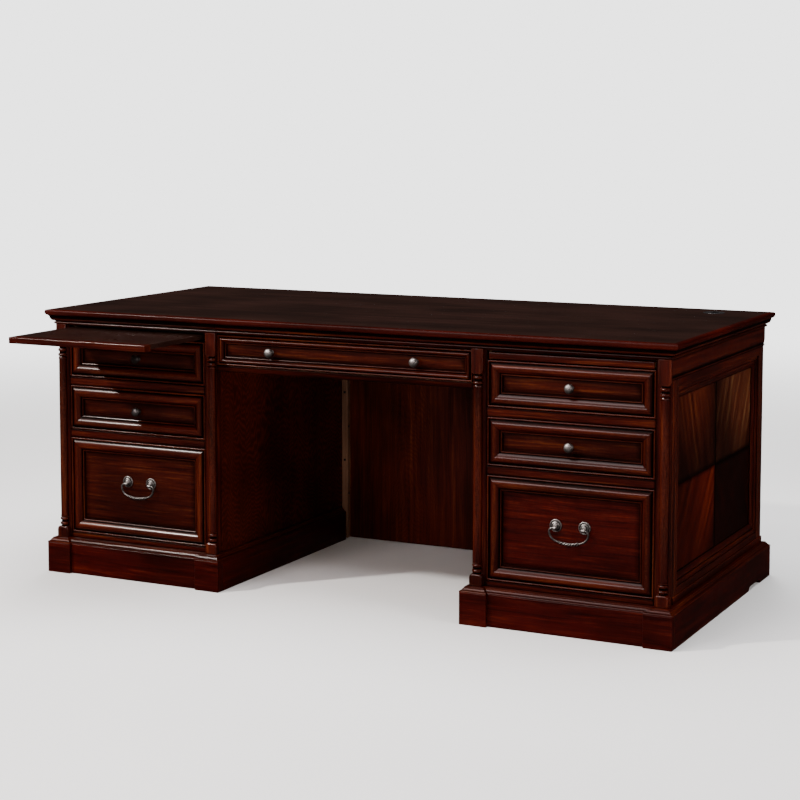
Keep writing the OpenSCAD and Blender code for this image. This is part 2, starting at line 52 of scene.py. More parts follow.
# Lengths in millimetres: the desktop, the side framing, the boards of frames, plinths and cleats.
LIPPING = 14
GROMMET_WELL = 25.5
PROUD = 3
GROOVE_SET = 17
GROOVE_W = 2.5
FRAME_T = 20
PLINTH_T = 19
FOOT_W = 76
CLEAT_T = 19
# How wide the mouldings of the drawer fronts are, the centre one's last; how far behind the front
# frame their panels lie; and how thick the drawers' running bars are.
BORDER, CENTRE_BORDER = 41, 26
PANEL_SET = 12
BAR_T = 10
ROSETTE_R = 16.5
# The bail's plain bar, its pins, the rope in its middle, and where the rope ends.
BAR_R, PIN_R, ROPE_R, ROPE_HALF = 2.75, 2.0, 3.6, 25.8
# Each leaf of a side panel: the tilt of its grain in degrees, how its veneer's colour is scaled to paint
# the lighter or darker sheen that the leaf catches, and where its painted sheen is brightest: the Y and Z
# of that place in metres, and how dim the leaf gets away from it.
LEAVES = {
    "leaf_00": (38, (1.2, 0.8, 0.25), (0.16, 0.36, 0.75)),
    "leaf_01": (-20, (1.0, 1.5, 2.4), (-0.03, 0.66, 0.38)),
    "leaf_10": (-25, (0.30, 0.15, 0.10), None),
    "leaf_11": (26, (1.4, 3.2, 6.5), (0.40, 0.62, 0.45)),
}
rng = random.Random(11)


# ---------------------------------------------------------------- camera, floor and lights

def add_camera():
    """The viewpoint: to the right of the desk and above its top, with a long lens."""
    data = bpy.data.cameras.new("camera")
    data.sensor_width = 36
    data.lens = 85.7826
    data.shift_x = 0.0100
    data.shift_y = -0.1381
    data.clip_end = 60
    cam = bpy.data.objects.new("camera", data)
    cam.location = (2.3794, -4.7391, 1.3051)
    yaw, pitch, roll = math.radians(26.551), math.radians(-5.094), math.radians(0.039)
    cam.matrix_world = (Matrix.Translation(cam.location) @ Matrix.Rotation(yaw, 4, "Z")
                        @ Matrix.Rotation(math.pi / 2 + pitch, 4, "X") @ Matrix.Rotation(roll, 4, "Z"))
    bpy.context.scene.collection.objects.link(cam)
    bpy.context.scene.camera = cam


def area_light(name, place, target, width, height, power, colour=(1, 1, 1), mirrored=True):
    """A softbox; one that isn't mirrored lights surfaces but makes no highlight in them."""
    data = bpy.data.lights.new(name, "AREA")
    data.shape = "RECTANGLE"
    data.size, data.size_y = width, height
    data.energy = power
    data.color = colour
    lamp = bpy.data.objects.new(name, data)
    lamp.location = place
    lamp.rotation_euler = (Vector(target) - Vector(place)).to_track_quat("-Z", "Y").to_euler()
    lamp.visible_glossy = mirrored
    bpy.context.scene.collection.objects.link(lamp)


def add_studio():
    area_light("key", (-4.25, -4.4, 4.45), (-0.2, 0, 0.45), 0.3, 0.3, 560, (1, 0.95, 0.89))
    area_light("glow_box", (-1.5, -5.0, 2.5), (0.1, 0, 0.5), 1.5, 1.1, 90, (1, 0.90, 0.90))
    area_light("brow_box", (-0.6, -2.2, 4.0), (0, -0.2, 0.4), 2.6, 0.9, 80, (1, 0.91, 0.91))
    area_light("front_strip", (2.9, -4.9, 1.5), (0.2, 0, 0.4), 0.5, 1.6, 22, (1, 0.93, 0.92))
    area_light("front_fill", (1.5, -5.2, 2.2), (0, 0, 0.4), 2.4, 1.8, 50, (1, 0.98, 0.96), mirrored=False)
    area_light("right_box", (4.6, -1.6, 1.9), (0.6, 0, 0.4), 1.0, 2.0, 18, (1, 0.92, 0.90))
    area_light("right_fill", (4.4, -0.6, 2.6), (0.9, 0, 0.4), 2.0, 2.0, 90, (1, 0.96, 0.93), mirrored=False)
    area_light("top_box", (0.2, 0.6, 4.6), (0, 0, 0), 4.2, 4.2, 360, (0.98, 0.98, 1), mirrored=False)
    area_light("back_box", (-1.5, 4.6, 3.4), (0, 0, 0.3), 2.0, 1.6, 110, mirrored=False)


def add_world():
    """Pale all round for the camera; darker, like a studio's far walls, for light and reflections."""
    world = bpy.data.worlds.new("world")
    world.use_nodes = True
    tree = world.node_tree
    tree.nodes.clear()
    out = tree.nodes.new("ShaderNodeOutputWorld")
    mix = tree.nodes.new("ShaderNodeMixShader")
    path = tree.nodes.new("ShaderNodeLightPath")
    seen, lit = (tree.nodes.new("ShaderNodeBackground") for _ in range(2))
    seen.inputs["Color"].default_value = (1, 1, 1, 1)
    seen.inputs["Strength"].default_value = SURROUND
    lit.inputs["Color"].default_value = (1, 0.78, 0.70, 1)
    lit.inputs["Strength"].default_value = 0.026
    tree.links.new(path.outputs["Is Camera Ray"], mix.inputs["Fac"])
    tree.links.new(lit.outputs[0], mix.inputs[1])
    tree.links.new(seen.outputs[0], mix.inputs[2])
    tree.links.new(mix.outputs[0], out.inputs["Surface"])
    bpy.context.scene.world = world


# ---------------------------------------------------------------- node helpers

class Graph:
    """A short way to write a material's nodes."""

    def __init__(self, name):
        self.material = bpy.data.materials.new(name)
        self.material.use_nodes = True
        self.tree = self.material.node_tree
        self.tree.nodes.clear()
        self.out = self.node("ShaderNodeOutputMaterial")
        self.shader = self.node("ShaderNodeBsdfPrincipled")
        self.link(self.shader.outputs["BSDF"], self.out.inputs["Surface"])

    def node(self, kind, **fields):
        made = self.tree.nodes.new(kind)
        for key, value in fields.items():
            setattr(made, key, value)
        return made

    def link(self, source, target):
        self.tree.links.new(source, target)

    def put(self, value, socket):
        if isinstance(value, bpy.types.NodeSocket):
            self.link(value, socket)
        else:
            socket.default_value = value

    def math(self, operation, a, b=0.0, c=0.0, clamp=False):
        made = self.node("ShaderNodeMath", operation=operation, use_clamp=clamp)
        for value, socket in zip((a, b, c), made.inputs):
            self.put(value, socket)
        return made.outputs[0]

    def vector(self, operation, a, b=(0, 0, 0)):
        made = self.node("ShaderNodeVectorMath", operation=operation)
        self.put(a, made.inputs[0])
        self.put(b, made.inputs[1])
        return made.outputs[0]

    def place(self):
        return self.node("ShaderNodeTexCoord").outputs["Object"]

    def noise(self, vector, scale, detail=3.0, rough=0.55):
        """Noise at one scale, or with a scale for each axis."""
        made = self.node("ShaderNodeTexNoise")
        if isinstance(scale, tuple):
            vector, scale = self.vector("MULTIPLY", vector, scale), 1.0
        self.link(vector, made.inputs["Vector"])
        for key, value in (("Scale", scale), ("Detail", detail), ("Roughness", rough)):
            made.inputs[key].default_value = value
        return made.outputs["Fac"]

    def ramp(self, value, low, high, to_low=0.0, to_high=1.0):
        made = self.node("ShaderNodeMapRange", interpolation_type="SMOOTHSTEP")
        self.link(value, made.inputs["Value"])
        for key, number in (("From Min", low), ("From Max", high), ("To Min", to_low), ("To Max", to_high)):
            made.inputs[key].default_value = number
        return made.outputs["Result"]

    def mix(self, fac, a, b, blend="MIX"):
        made = self.node("ShaderNodeMix", data_type="RGBA", blend_type=blend)
        self.put(fac, made.inputs[0])
        self.put(a, made.inputs[6])
        self.put(b, made.inputs[7])
        return made.outputs[2]

    def attribute(self, name):
        return self.node("ShaderNodeAttribute", attribute_name=name).outputs["Fac"]

    def bump(self, height, distance, strength):
        made = self.node("ShaderNodeBump")
        made.inputs["Strength"].default_value = strength
        made.inputs["Distance"].default_value = distance
        self.link(height, made.inputs["Height"])
        self.link(made.outputs["Normal"], self.shader.inputs["Normal"])

    def set(self, **values):
        for key, value in values.items():
            self.put(value, self.shader.inputs[key.replace("_", " ")])


def rgb(r, g, b):
    return (r, g, b, 1)


# ---------------------------------------------------------------- wood

def wood(name, axis, dark, mid, light, figure=0.0, rough=0.32, coat=0.24, shine=0.10, tilt=0,
         open_pores=1.0, sheen=None, fineness=1.0):
    """Lacquered wood with its grain along one axis; every board has its own stretch of the pattern.

    figure adds cathedral arches, tilt leans the grain, and sheen is the bright place of a leaf's
    painted sheen. The tone attribute paints shade with dark glaze below 0, and a highlight with
    rubbed wear above 0.
    """
    g = Graph(name)
    place = whole = g.place()
    if tilt:
        mapping = g.node("ShaderNodeMapping")
        g.link(place, mapping.inputs["Vector"])
        mapping.inputs["Rotation"].default_value = (math.radians(tilt), 0, 0)
        place = mapping.outputs["Vector"]
    parts = g.node("ShaderNodeSeparateXYZ")
    g.link(place, parts.inputs[0])
    order = {"x": (0, 1, 2), "y": (1, 0, 2), "z": (2, 0, 1)}[axis]
    board = g.attribute("board")
    joined = g.node("ShaderNodeCombineXYZ")
    for slot, (part, step) in enumerate(zip(order, (3.1, 1.7, 2.3))):
        g.link(g.math("MULTIPLY_ADD", board, step, parts.outputs[part]), joined.inputs[slot])
    grain = joined.outputs[0]

    sway = g.noise(grain, (1.3, 5, 5), 2.0)
    offset = g.math("MULTIPLY", g.math("SUBTRACT", sway, 0.5), 0.035)
    shift = g.node("ShaderNodeCombineXYZ")
    g.link(offset, shift.inputs[1])
    g.link(offset, shift.inputs[2])
    grain = g.vector("ADD", grain, shift.outputs[0])

    streaks = g.noise(grain, (2.2 * fineness, 60 * fineness, 60 * fineness), 6.0, 0.7)
    fine = g.noise(grain, (9, 330, 330), 3.0, 0.6)
    pores = g.noise(grain, (38, 1150, 1150), 1.5, 0.5)
    tint = g.math("ADD", g.math("MULTIPLY", streaks, 0.66), g.math("MULTIPLY", fine, 0.34))
    if figure:
        tint = g.math("ADD", g.math("MULTIPLY", tint, 1 - 0.6 * figure),
                      g.math("MULTIPLY", cathedral(g, grain, 0.09 + 0.06 * figure), 0.6 * figure))
    colour = g.mix(g.ramp(tint, 0.36, 0.52), rgb(*dark), rgb(*mid))
    colour = g.mix(g.ramp(tint, 0.5, 0.70), colour, rgb(*light))
    colour = g.mix(g.math("MULTIPLY", g.ramp(pores, 0.60, 0.74), 0.55 * open_pores), colour,
                   rgb(*(c * 0.25 for c in dark)))
    shade = g.ramp(g.noise(grain, (3.2, 6, 6), 2.0), 0.3, 0.7, 0.6, 1.25)
    colour = g.mix(1.0, colour, shade, "MULTIPLY")
    # A painted sheen: the leaf's colour is brightened up to 1.7 times at its bright place and dimmed to dim
    # away from it.
    if sheen:
        *spot, dim = sheen
        away = g.node("ShaderNodeVectorMath", operation="LENGTH")
        g.link(g.vector("MULTIPLY", g.vector("SUBTRACT", whole, (0, *spot)), (0, 1, 1)), away.inputs[0])
        glow = g.ramp(away.outputs["Value"], 0.03, 0.27, 1.7, dim)
        colour = g.mix(1.0, colour, glow, "MULTIPLY")

    # Painted light from the tone attribute: below 0 a near-black painted shade, with dark glaze, in quirks,
    # gaps and undercuts, where the coat and shine are also taken off; above 0 a lighter colour, a painted
    # highlight with rubbed wear.
    tone = g.attribute("tone")
    speck = g.noise(place, 170, 4.0, 0.7)
    shade_and_glaze = g.math("MULTIPLY", g.math("MULTIPLY", tone, -1.2, clamp=True),
                   g.ramp(speck, 0.2, 0.6, 0.85, 1.0))
    highlight_and_wear = g.math("MULTIPLY", g.math("MULTIPLY", tone, 1.0, clamp=True),
                  g.ramp(speck, 0.42, 0.62, 0.15, 1.0))
    highlight_and_rubbed_colour = rgb(*(min(1, 1.7 * c + 0.004) for c in light))
    colour = g.mix(shade_and_glaze, colour, rgb(0.0006, 0.0003, 0.0003))
    colour = g.mix(g.math("MULTIPLY", highlight_and_wear, 0.3), colour, highlight_and_rubbed_colour)

    smear = g.noise(place, 26, 4.0, 0.6)
    clear_of_shade_and_glaze = g.math("SUBTRACT", 1.0, shade_and_glaze, clamp=True)
    g.set(Base_Color=colour, Roughness=g.math("MULTIPLY_ADD", smear, 0.16, rough - 0.08),
          Coat_Weight=g.math("MULTIPLY", clear_of_shade_and_glaze, coat), Coat_Roughness=0.18,
          Specular_Tint=rgb(1, 0.7, 0.64), Specular_IOR_Level=g.math("MULTIPLY_ADD", clear_of_shade_and_glaze, shine, 0.02))
    height = g.math("ADD", g.math("MULTIPLY", fine, 0.5), g.math("MULTIPLY", pores, -0.5))
    g.bump(height, 0.00025, 0.35 * open_pores)
    return g.material


def cathedral(g, grain, contrast):
    """Growth rings cut slantwise: arches 19 mm apart along the grain."""
    cut = g.node("ShaderNodeSeparateXYZ")
    g.link(grain, cut.inputs[0])
    across = g.math("PINGPONG", cut.outputs[1], 0.16)
    arch = g.math("MULTIPLY", g.math("MULTIPLY", across, across), 26)
    swell = g.math("MULTIPLY", g.noise(grain, (2.4, 9, 9), 4.0), 0.35)
    phase = g.math("ADD", g.math("ADD", arch, swell), cut.outputs[0])
    return g.math("MULTIPLY_ADD", g.math("SINE", g.math("MULTIPLY", phase, 330)), contrast, 0.5)


CHERRY = dict(dark=(0.0070, 0.0003, 0.0001), mid=(0.024, 0.0013, 0.0002), light=(0.080, 0.0125, 0.0016))
EDGE = dict(dark=(0.010, 0.0005, 0.0002), mid=(0.024, 0.0011, 0.0003), light=(0.045, 0.003, 0.0005))
VENEER = dict(dark=(0.007, 0.0004, 0.0001), mid=(0.023, 0.0018, 0.0003), light=(0.075, 0.0140, 0.0024))
TOP = dict(dark=(0.0058, 0.0022, 0.0017), mid=(0.0110, 0.0042, 0.0031), light=(0.021, 0.0082, 0.0056))
BOX = dict(dark=(0.30, 0.175, 0.085), mid=(0.43, 0.27, 0.14), light=(0.54, 0.37, 0.21))
RAW = dict(dark=(0.10, 0.045, 0.024), mid=(0.16, 0.075, 0.042), light=(0.22, 0.11, 0.065))

MATERIALS = {}


def tinted(colours, red, green, blue):
    """The same wood with its red, green and blue multiplied."""
    return {key: (r * red, g * green, b * blue) for key, (r, g, b) in colours.items()}


def wood_set(key, colours, axes, **options):
    for axis in axes:
        name = f"{key}_{axis}"
        MATERIALS[name] = wood(name, axis, **colours, **options)


# ---------------------------------------------------------------- metal and plastic

def metal(name, dark, bright, rough, polish):
    """Cast metal with dark patina in its hollows, rubbed bright where the tone attribute says."""
    g = Graph(name)
    place = g.place()
    patches = g.noise(place, 130, 4.0, 0.65)
    grit = g.noise(place, 900, 3.0, 0.6)
    tone = g.math("MULTIPLY_ADD", g.attribute("tone"), 0.5, g.math("MULTIPLY_ADD", patches, 0.9, -0.1))
    colour = g.mix(g.ramp(tone, 0.1, polish), rgb(*dark), rgb(*bright))
    g.set(Base_Color=colour, Metallic=1.0, Roughness=g.math("MULTIPLY_ADD", grit, 0.2, rough - 0.1))
    g.bump(grit, 0.0002, 0.25)
    return g.material


def steel(name):
    g = Graph(name)
    place = g.place()
    lines = g.noise(place, (900, 12, 900))
    stains = g.noise(place, 9)
    colour = g.mix(stains, rgb(0.36, 0.36, 0.37), rgb(0.52, 0.52, 0.54))
    g.set(Base_Color=colour, Metallic=1.0, Roughness=g.math("MULTIPLY_ADD", lines, 0.2, 0.26))
    g.bump(lines, 0.0001, 0.2)
    return g.material


def plastic(name):
    g = Graph(name)
    place = g.place()
    grain = g.noise(place, 1400, 2.0)
    scuffs = g.noise(place, (60, 420, 60))
    colour = g.mix(g.ramp(scuffs, 0.55, 0.8), rgb(0.012, 0.012, 0.013), rgb(0.035, 0.034, 0.034))
    g.set(Base_Color=colour, Roughness=g.math("MULTIPLY_ADD", scuffs, 0.25, 0.18))
    g.bump(grain, 0.0001, 0.25)
    return g.material


# ---------------------------------------------------------------- meshes

class Shell:
    """Closed solids that make up one piece. Lengths go in as millimetres in the shared frame."""

    def __init__(self):
        self.points, self.tones, self.boards = [], [], []
        self.faces, self.kinds = [], []

    def add(self, points, tones, faces, kind, number=None):
        start = len(self.points)
        number = rng.uniform(0, 40) if number is None else number
        self.points += [Vector(p) for p in points]
        self.tones += tones
        self.boards += [number] * len(points)
        self.faces += [[start + i for i in f] for f in faces]
        self.kinds += [kind] * len(faces)

    def flat(self, loops, kind, tone=0.0, number=None):
        """A solid between loops that all carry one tone."""
        self.loft(loops, [[tone] * len(loops[0])] * len(loops), kind, number=number)

    def loft(self, sections, tones, kind, ring=False, number=None):
        """A solid through closed loops of equal length; ring joins the last loop to the first."""
        count, n = len(sections), len(sections[0])
        faces = []
        for i in range(count if ring else count - 1):
            j = (i + 1) % count
            faces += [[i * n + k, i * n + (k + 1) % n, j * n + (k + 1) % n, j * n + k] for k in range(n)]
        if not ring:
            faces += [list(range(n))[::-1], [(count - 1) * n + k for k in range(n)]]
        flat = [t for row in tones for t in row]
        self.add([p for loop in sections for p in loop], flat, faces, kind, number)

    def board(self, low, high, kind, r=1.0, fade=3.0, tone=0.7):
        """A board with rounded arrises; tone is painted on its arrises and fades inwards: below 0 shade
        with dark glaze, above 0 a highlight with rubbed wear.
        """
        r = min(r, 0.25 * min(b - a for a, b in zip(low, high)))
        axes = []
        for a, b in zip(low, high):
            soft = min(fade, 0.8 * ((b - a) / 2 - r))
            near = [0, 0.586 * r, r, r + soft]
            axes.append([a + u for u in near] + [b - u for u in reversed(near)])
        found, points, tones, faces = {}, [], [], []

        def vertex(index):
            if index not in found:
                p = Vector(axes[i][index[i]] for i in range(3))
                inner = Vector(min(max(p[i], axes[i][2]), axes[i][5]) for i in range(3))
                found[index] = len(points)
                points.append(inner + (p - inner).normalized() * r)
                rim = sum(1 for i in index if i not in (3, 4)) >= 2
                tones.append(tone if rim else 0.0)
            return found[index]

        for axis in range(3):
            u, v = (axis + 1) % 3, (axis + 2) % 3
            for side in (0, 7):
                for i in range(7):
                    for j in range(7):
                        loop = []
                        for di, dj in ((0, 0), (1, 0), (1, 1), (0, 1)):
                            index = [0, 0, 0]
                            index[axis], index[u], index[v] = side, i + di, j + dj
                            loop.append(vertex(tuple(index)))
                        faces.append(loop if side else loop[::-1])
        self.add(points, tones, faces, kind)

    def sweep(self, origin, across, up, path, profile, kinds, backs, closed=True, dark=0.6):
        """A moulding along a path, mitred at its corners. The path is seen from the side that the
        moulding faces, anticlockwise round its inside. profile makes [inset, height, tone] points
        from how far back that stretch of the moulding reaches, which is its entry in backs."""
        out = across.cross(up)
        n = len(path)
        edges = n if closed else n - 1
        inward = [left_of(path[i], path[(i + 1) % n]) for i in range(edges)]
        joint = [mitre(inward[i - 1], inward[i % edges]) for i in range(n)]
        if not closed:
            joint[0], joint[-1] = inward[0], inward[-1]
        for i in range(edges):
            a, b = path[i], path[(i + 1) % n]
            ja, jb = joint[i], joint[(i + 1) % n]
            run = (inward[i][1], -inward[i][0])
            shape = profile(backs[i])
            sections, tones = [], []
            gap = min(1.0, math.dist(a, b) * 0.2)
            for corner, j, step, ends in ((a, ja, 0, 1), (a, ja, gap, 0), (b, jb, -gap, 0), (b, jb, 0, 1)):
                sections.append([origin + across * (corner[0] + j[0] * inset + run[0] * step)
                                 + up * (corner[1] + j[1] * inset + run[1] * step) + out * height
                                 for inset, height, _ in shape])
                tones.append([min(t, -dark) if ends else t for _, _, t in shape])
            self.loft(sections, tones, kinds[i % len(kinds)])

    def turned(self, centre, axis, profile, kind, steps=40, half=None):
        """A lathe-turned solid; the profile is [radius, height along the axis, tone]. half is the
        direction that a half-round solid faces."""
        side = half or (X if abs(axis.x) < 0.5 else Y)
        other = axis.cross(side)
        first, last = (-90, 90) if half else (0, 360)
        count = steps // 2 + 1 if half else steps
        angles = [math.radians(first + (last - first) * i / (count - 1 if half else count))
                  for i in range(count)]
        sections = [[centre + axis * h + (side * math.cos(a) + other * math.sin(a)) * r for a in angles]
                    for r, h, _ in profile]
        # A half-round solid is painted darker towards its two sides, down to full shade where it meets the
        # surface behind it.
        edge = [min(1, max(0, 2.2 * math.cos(a))) if half else 1 for a in angles]
        self.loft(sections, [[t * e - (1 - e) for e in edge] for _, _, t in profile], kind)

    def prism(self, origin, across, up, outline, depth, kind, r=1.0, tone=0.6):
        """An outline pushed out from a plane, with its front arris rounded."""
        out = across.cross(up)
        outline = [p for i, p in enumerate(outline) if math.dist(p, outline[i - 1]) > 1e-4]
        n = len(outline)
        inward = [left_of(outline[i - 1], outline[i]) for i in range(n)]
        joint = [mitre(inward[i], inward[(i + 1) % n]) for i in range(n)]
        # The rounded front arris carries tone: below 0 painted shade, above 0 a painted highlight with
        # wear.
        steps = [(0, 0, 0), (0, depth - r, 0)] + arc(r, depth - r, r, 150, 90, tone, 2)
        steps.append((r + 2.5, depth, 0))
        loops = [[origin + across * (q[0] + inset * j[0]) + up * (q[1] + inset * j[1]) + out * height
                  for q, j in zip(outline, joint)] for inset, height, _ in steps]
        self.loft(loops, [[t] * n for _, _, t in steps], kind)

    def mirrored(self):
        for p in self.points:
            p.x = -p.x


def left_of(a, b):
    """The unit vector that points to the left of the way from a to b."""
    length = math.dist(a, b)
    return (a[1] - b[1]) / length, (b[0] - a[0]) / length


def mitre(before, after):
    """How far a corner moves when the edges before and after it move by one along their normals."""
    share = max(1 + before[0] * after[0] + before[1] * after[1], 0.3)
    return (before[0] + after[0]) / share, (before[1] + after[1]) / share


def piece(name, shell, body, slot, *replaced, sharp=SHARP):
    """Makes the object of a shell, and says what it rides on and which CAD nodes it stands for.
    The slot argument, its material slot, is not used."""
    bm = bmesh.new()
    verts = [bm.verts.new(p * MM) for p in shell.points]
    kinds = list(dict.fromkeys(shell.kinds))
    for loop, kind in zip(shell.faces, shell.kinds):
        face = bm.faces.new([verts[i] for i in loop])
        face.material_index = kinds.index(kind)
        face.smooth = True
    bmesh.ops.recalc_face_normals(bm, faces=bm.faces)
    for edge in bm.edges:
        if len(edge.link_faces) != 2 or edge.calc_face_angle(0) > sharp:
            edge.smooth = False
    mesh = bpy.data.meshes.new(name)
    bm.to_mesh(mesh)
    bm.free()
    # tone carries painted shade and highlights (with glaze, wear and metal patina) to the materials; board
    # picks each board's stretch of the grain.
    for label, values in (("tone", shell.tones), ("board", shell.boards)):
        mesh.attributes.new(label, "FLOAT", "POINT").data.foreach_set("value", values)
    for kind in kinds:
        mesh.materials.append(MATERIALS[kind])
    made = bpy.data.objects.new(name, mesh)
    bpy.context.scene.collection.objects.link(made)
    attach(made, body)
    if replaced:
        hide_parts(*replaced)


def box(node):
    """A CAD node's low and high corners, in millimetres."""
    low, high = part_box(node)
    return low / MM, high / MM


# ---------------------------------------------------------------- shapes of the mouldings

def bend(cx, cz, rx, rz, start, stop, steps=6):
    """Outline points on an ellipse; angles in degrees run from the first axis to the second."""
    angles = [math.radians(start + (stop - start) * i / steps) for i in range(steps + 1)]
    return [(cx + rx * math.cos(a), cz + rz * math.sin(a)) for a in angles]


def arc(cx, cz, r, start, stop, tone=0.0, steps=6, rim=None):
    """Profile points on a circle; rim is the tone at its two ends."""
    tones = [tone] * (steps + 1)
    if rim is not None:
        tones[0] = tones[-1] = rim
    return [(*p, t) for p, t in zip(bend(cx, cz, r, r, start, stop, steps), tones)]


def eased(points, steps=3):
    """A smooth line through profile points."""
    line = []
    for i in range(len(points) - 1):
        p = [points[max(i - 1, 0)], points[i], points[i + 1], points[min(i + 2, len(points) - 1)]]
        for k in range(steps):
            t = k / steps
            line.append(tuple(0.5 * (2 * b + (c - a) * t + (2 * a - 5 * b + 4 * c - d) * t * t
                                     + (3 * b - a - 3 * c + d) * t ** 3)
                              for a, b, c, d in zip(*p)))
    return line + [points[-1]]


# In the profiles below, the third number of each point paints light into the wood: below 0 shade in quirks,
# hollows and undercuts, above 0 a highlight on beads, rounds and swells.
def top_edge(thick, depth):
    """Desktop edge: an ogee below and a quarter round above."""
    # The ogee under the edge is painted near black, shade under the desktop, and the round above it a
    # little lighter.
    lower = eased([(9.5, 0, -1), (9.2, 1.5, -1), (7.6, 3.8, -0.7), (4.4, 5.6, -0.1), (1.6, 8.2, 0.4),
                   (0, 12, 0.4)])
    return ([(depth, 0, 0)] + lower + arc(5.5, thick - 5.5, 5.5, 180, 90, 0.15)
            + [(7.5, thick, 0.15), (depth, thick, 0)])


def cornice_shape(depth):
    """Cornice: a bead, a quirk, a fillet, a cove and an upper fillet."""
    # The bead and its quirk are painted dark and the fillet under the desktop near black, painted shade;
    # the round between them carries a faint painted highlight.
    return ([(depth, 0, 0), (12, 0, -0.9)] + arc(12, 3.9, 3.5, 270, 90, -0.3, rim=-1)
            + [(12.2, 7.9, -1), (10.6, 8.1, -1), (10.4, 9.4, -1)]
            + eased([(9.6, 9.7, -0.8), (5.6, 10.6, -0.1), (2.8, 12.8, 0.15), (1.6, 15.4, 0.15)])
            + [(1.3, 16.2, -0.6), (0.6, 16.9, -0.9), (0, 17.4, -0.8), (0, 21, -1), (depth, 21, 0)])


def frieze_shape(depth):
    """Frieze: a flat band over a small bead."""
    # The quirks by the bead and the top of the band under the cornice are painted near black: shade.
    return ([(depth, 0, 0), (2.2, 0, -1)] + arc(2.2, 4.4, 1.9, 255, 105, 0.1, rim=-1)
            + [(2.2, 8.9, -1), (1.6, 10.5, -0.9), (0.5, 17, 0), (0, 19, 0), (0, 48, 0), (0, 55, -1),
               (depth, 55, 0)])


def cap_shape(depth):
    """Plinth cap: a fillet, an ogee and an upper fillet."""
    return ([(depth, 0, 0), (0, 0, -0.3), (0, 2.4, 0.5), (0.9, 3.4, 0.5)]
            + eased([(1.6, 4.0, 0), (4, 5.0, -0.3), (6.2, 6.8, -0.2), (7.4, 9.4, 0.4), (8.8, 10.4, 0.6)])
            + [(9.2, 10.9, -0.8), (10.2, 11.6, 0.3), (10.6, 13.2, 0.5), (12, 14, 0.1), (depth, 14, 0)])


def band_shape(depth):
    """The band along the foot of a pedestal, rounded on top."""
    return [(depth, 0, 0), (0, 0, -0.4), (0, 14, 0)] + arc(3, 15, 3, 180, 90, 0.4) + [(depth, 18, 0)]


def drawer_shape(wide, thick):
    """Drawer moulding: outer bead, quirk, wide swell, inner step down to the panel."""
    # Shade is painted into the quirks, down the swell's sides and into the step, and a highlight across the
    # swell's crest.
    tones = (-1, -0.9, -0.6, -0.25, 0.1, 0.35, 0.5, 0.5, 0.4, 0.25, 0.1, 0, -0.2, -0.5, -1)
    swell = []
    for i, tone in enumerate(tones):
        t = i / (len(tones) - 1)
        swell.append((6.3 + (wide - 13.3) * t, 6.5 * math.sin(math.pi * t) - 2.5 - 2.5 * t, tone))
    return ([(0, -thick, -1), (0, -2.4, -1)] + arc(2.2, -1.9, 2.1, 180, 0, 0.5, rim=-0.9)
            + [(4.7, -3.4, -1), (5.6, -3.4, -1)]
            + swell + [(wide - 6.4, -7.6, -1), (wide - 5.8, -7.4, -0.2)]
            + arc(wide - 4.4, -7.9, 1.4, 150, 10, 0.5, 4, rim=-1)
            + [(wide - 2.8, -9.6, -0.9), (wide - 1.8, -9.6, -0.4), (wide - 0.4, -PANEL_SET, -1),
               (wide, -PANEL_SET - 0.6, -1), (wide, -thick, 0)])


def side_shape(wide, thick):
    """Side frame moulding: a bead, a quirk, a big round and a long fall to the panel."""
    big = [(4 + 9 * math.sin(math.radians(a)),
            -3 - 4 * (1 - math.cos(math.radians(a))) + 1.5 * math.sin(math.radians(a)), 0.0)
           for a in range(0, 91, 10)]
    return ([(0, -thick, 0), (0, -0.4, -0.3), (0.4, 0, 0.4), (1.8, 0, 0.3), (2.2, -0.5, -0.4)]
            + [(2.4, -2.4, -1)] + big + [(14.4, -7.8, -1), (15.4, -7.9, -0.8), (16, -7.3, 0.4)]
            + eased([(17.5, -6.9, 0.1), (21, -7, 0), (25, -8.6, 0), (28.5, -11.2, -0.1)])
            + [(30, -11.4, 0.4), (30.6, -12.6, -0.9), (wide, -thick + 0.2, -1), (wide, -thick, 0)])


# ---------------------------------------------------------------- the pieces of the desk

def rectangle(a0, b0, a1, b1):
    return [(a0, b0), (a1, b0), (a1, b1), (a0, b1)]


def build_top():
    """The veneered field in its moulded lipping, with the grommet's hole through it."""
    low, high = box("desktop")
    thick = high.z - low.z
    shell = Shell()
    shell.sweep(Vector((0, 0, low.z)), X, Y, rectangle(low.x, low.y, high.x, high.y),
                lambda depth: top_edge(thick, depth), ["edge_x", "edge_y"], backs=[LIPPING] * 4, dark=0.2)
    c0, c1 = box("grommet_liner")
    cx, cy = (c0.x + c1.x) / 2, (c0.y + c1.y) / 2
    x0, y0, x1, y1 = low.x + LIPPING, low.y + LIPPING, high.x - LIPPING, high.y - LIPPING
    for side, edge in ((-1, x0), (1, x1)):
        notch = bend(cx, cy, side * GROMMET_WELL, GROMMET_WELL, 90, -90, 24)
        outline = [(edge, y0), (edge, y1), (cx, y1)] + notch + [(cx, y0)]
        loops = [[Vector((x, y, z)) for x, y in outline] for z in (low.z + 0.4, high.z)]
        shell.flat(loops, "top_x", number=7)
    piece("desk_top", shell, "desk", "dark_top", "desktop")


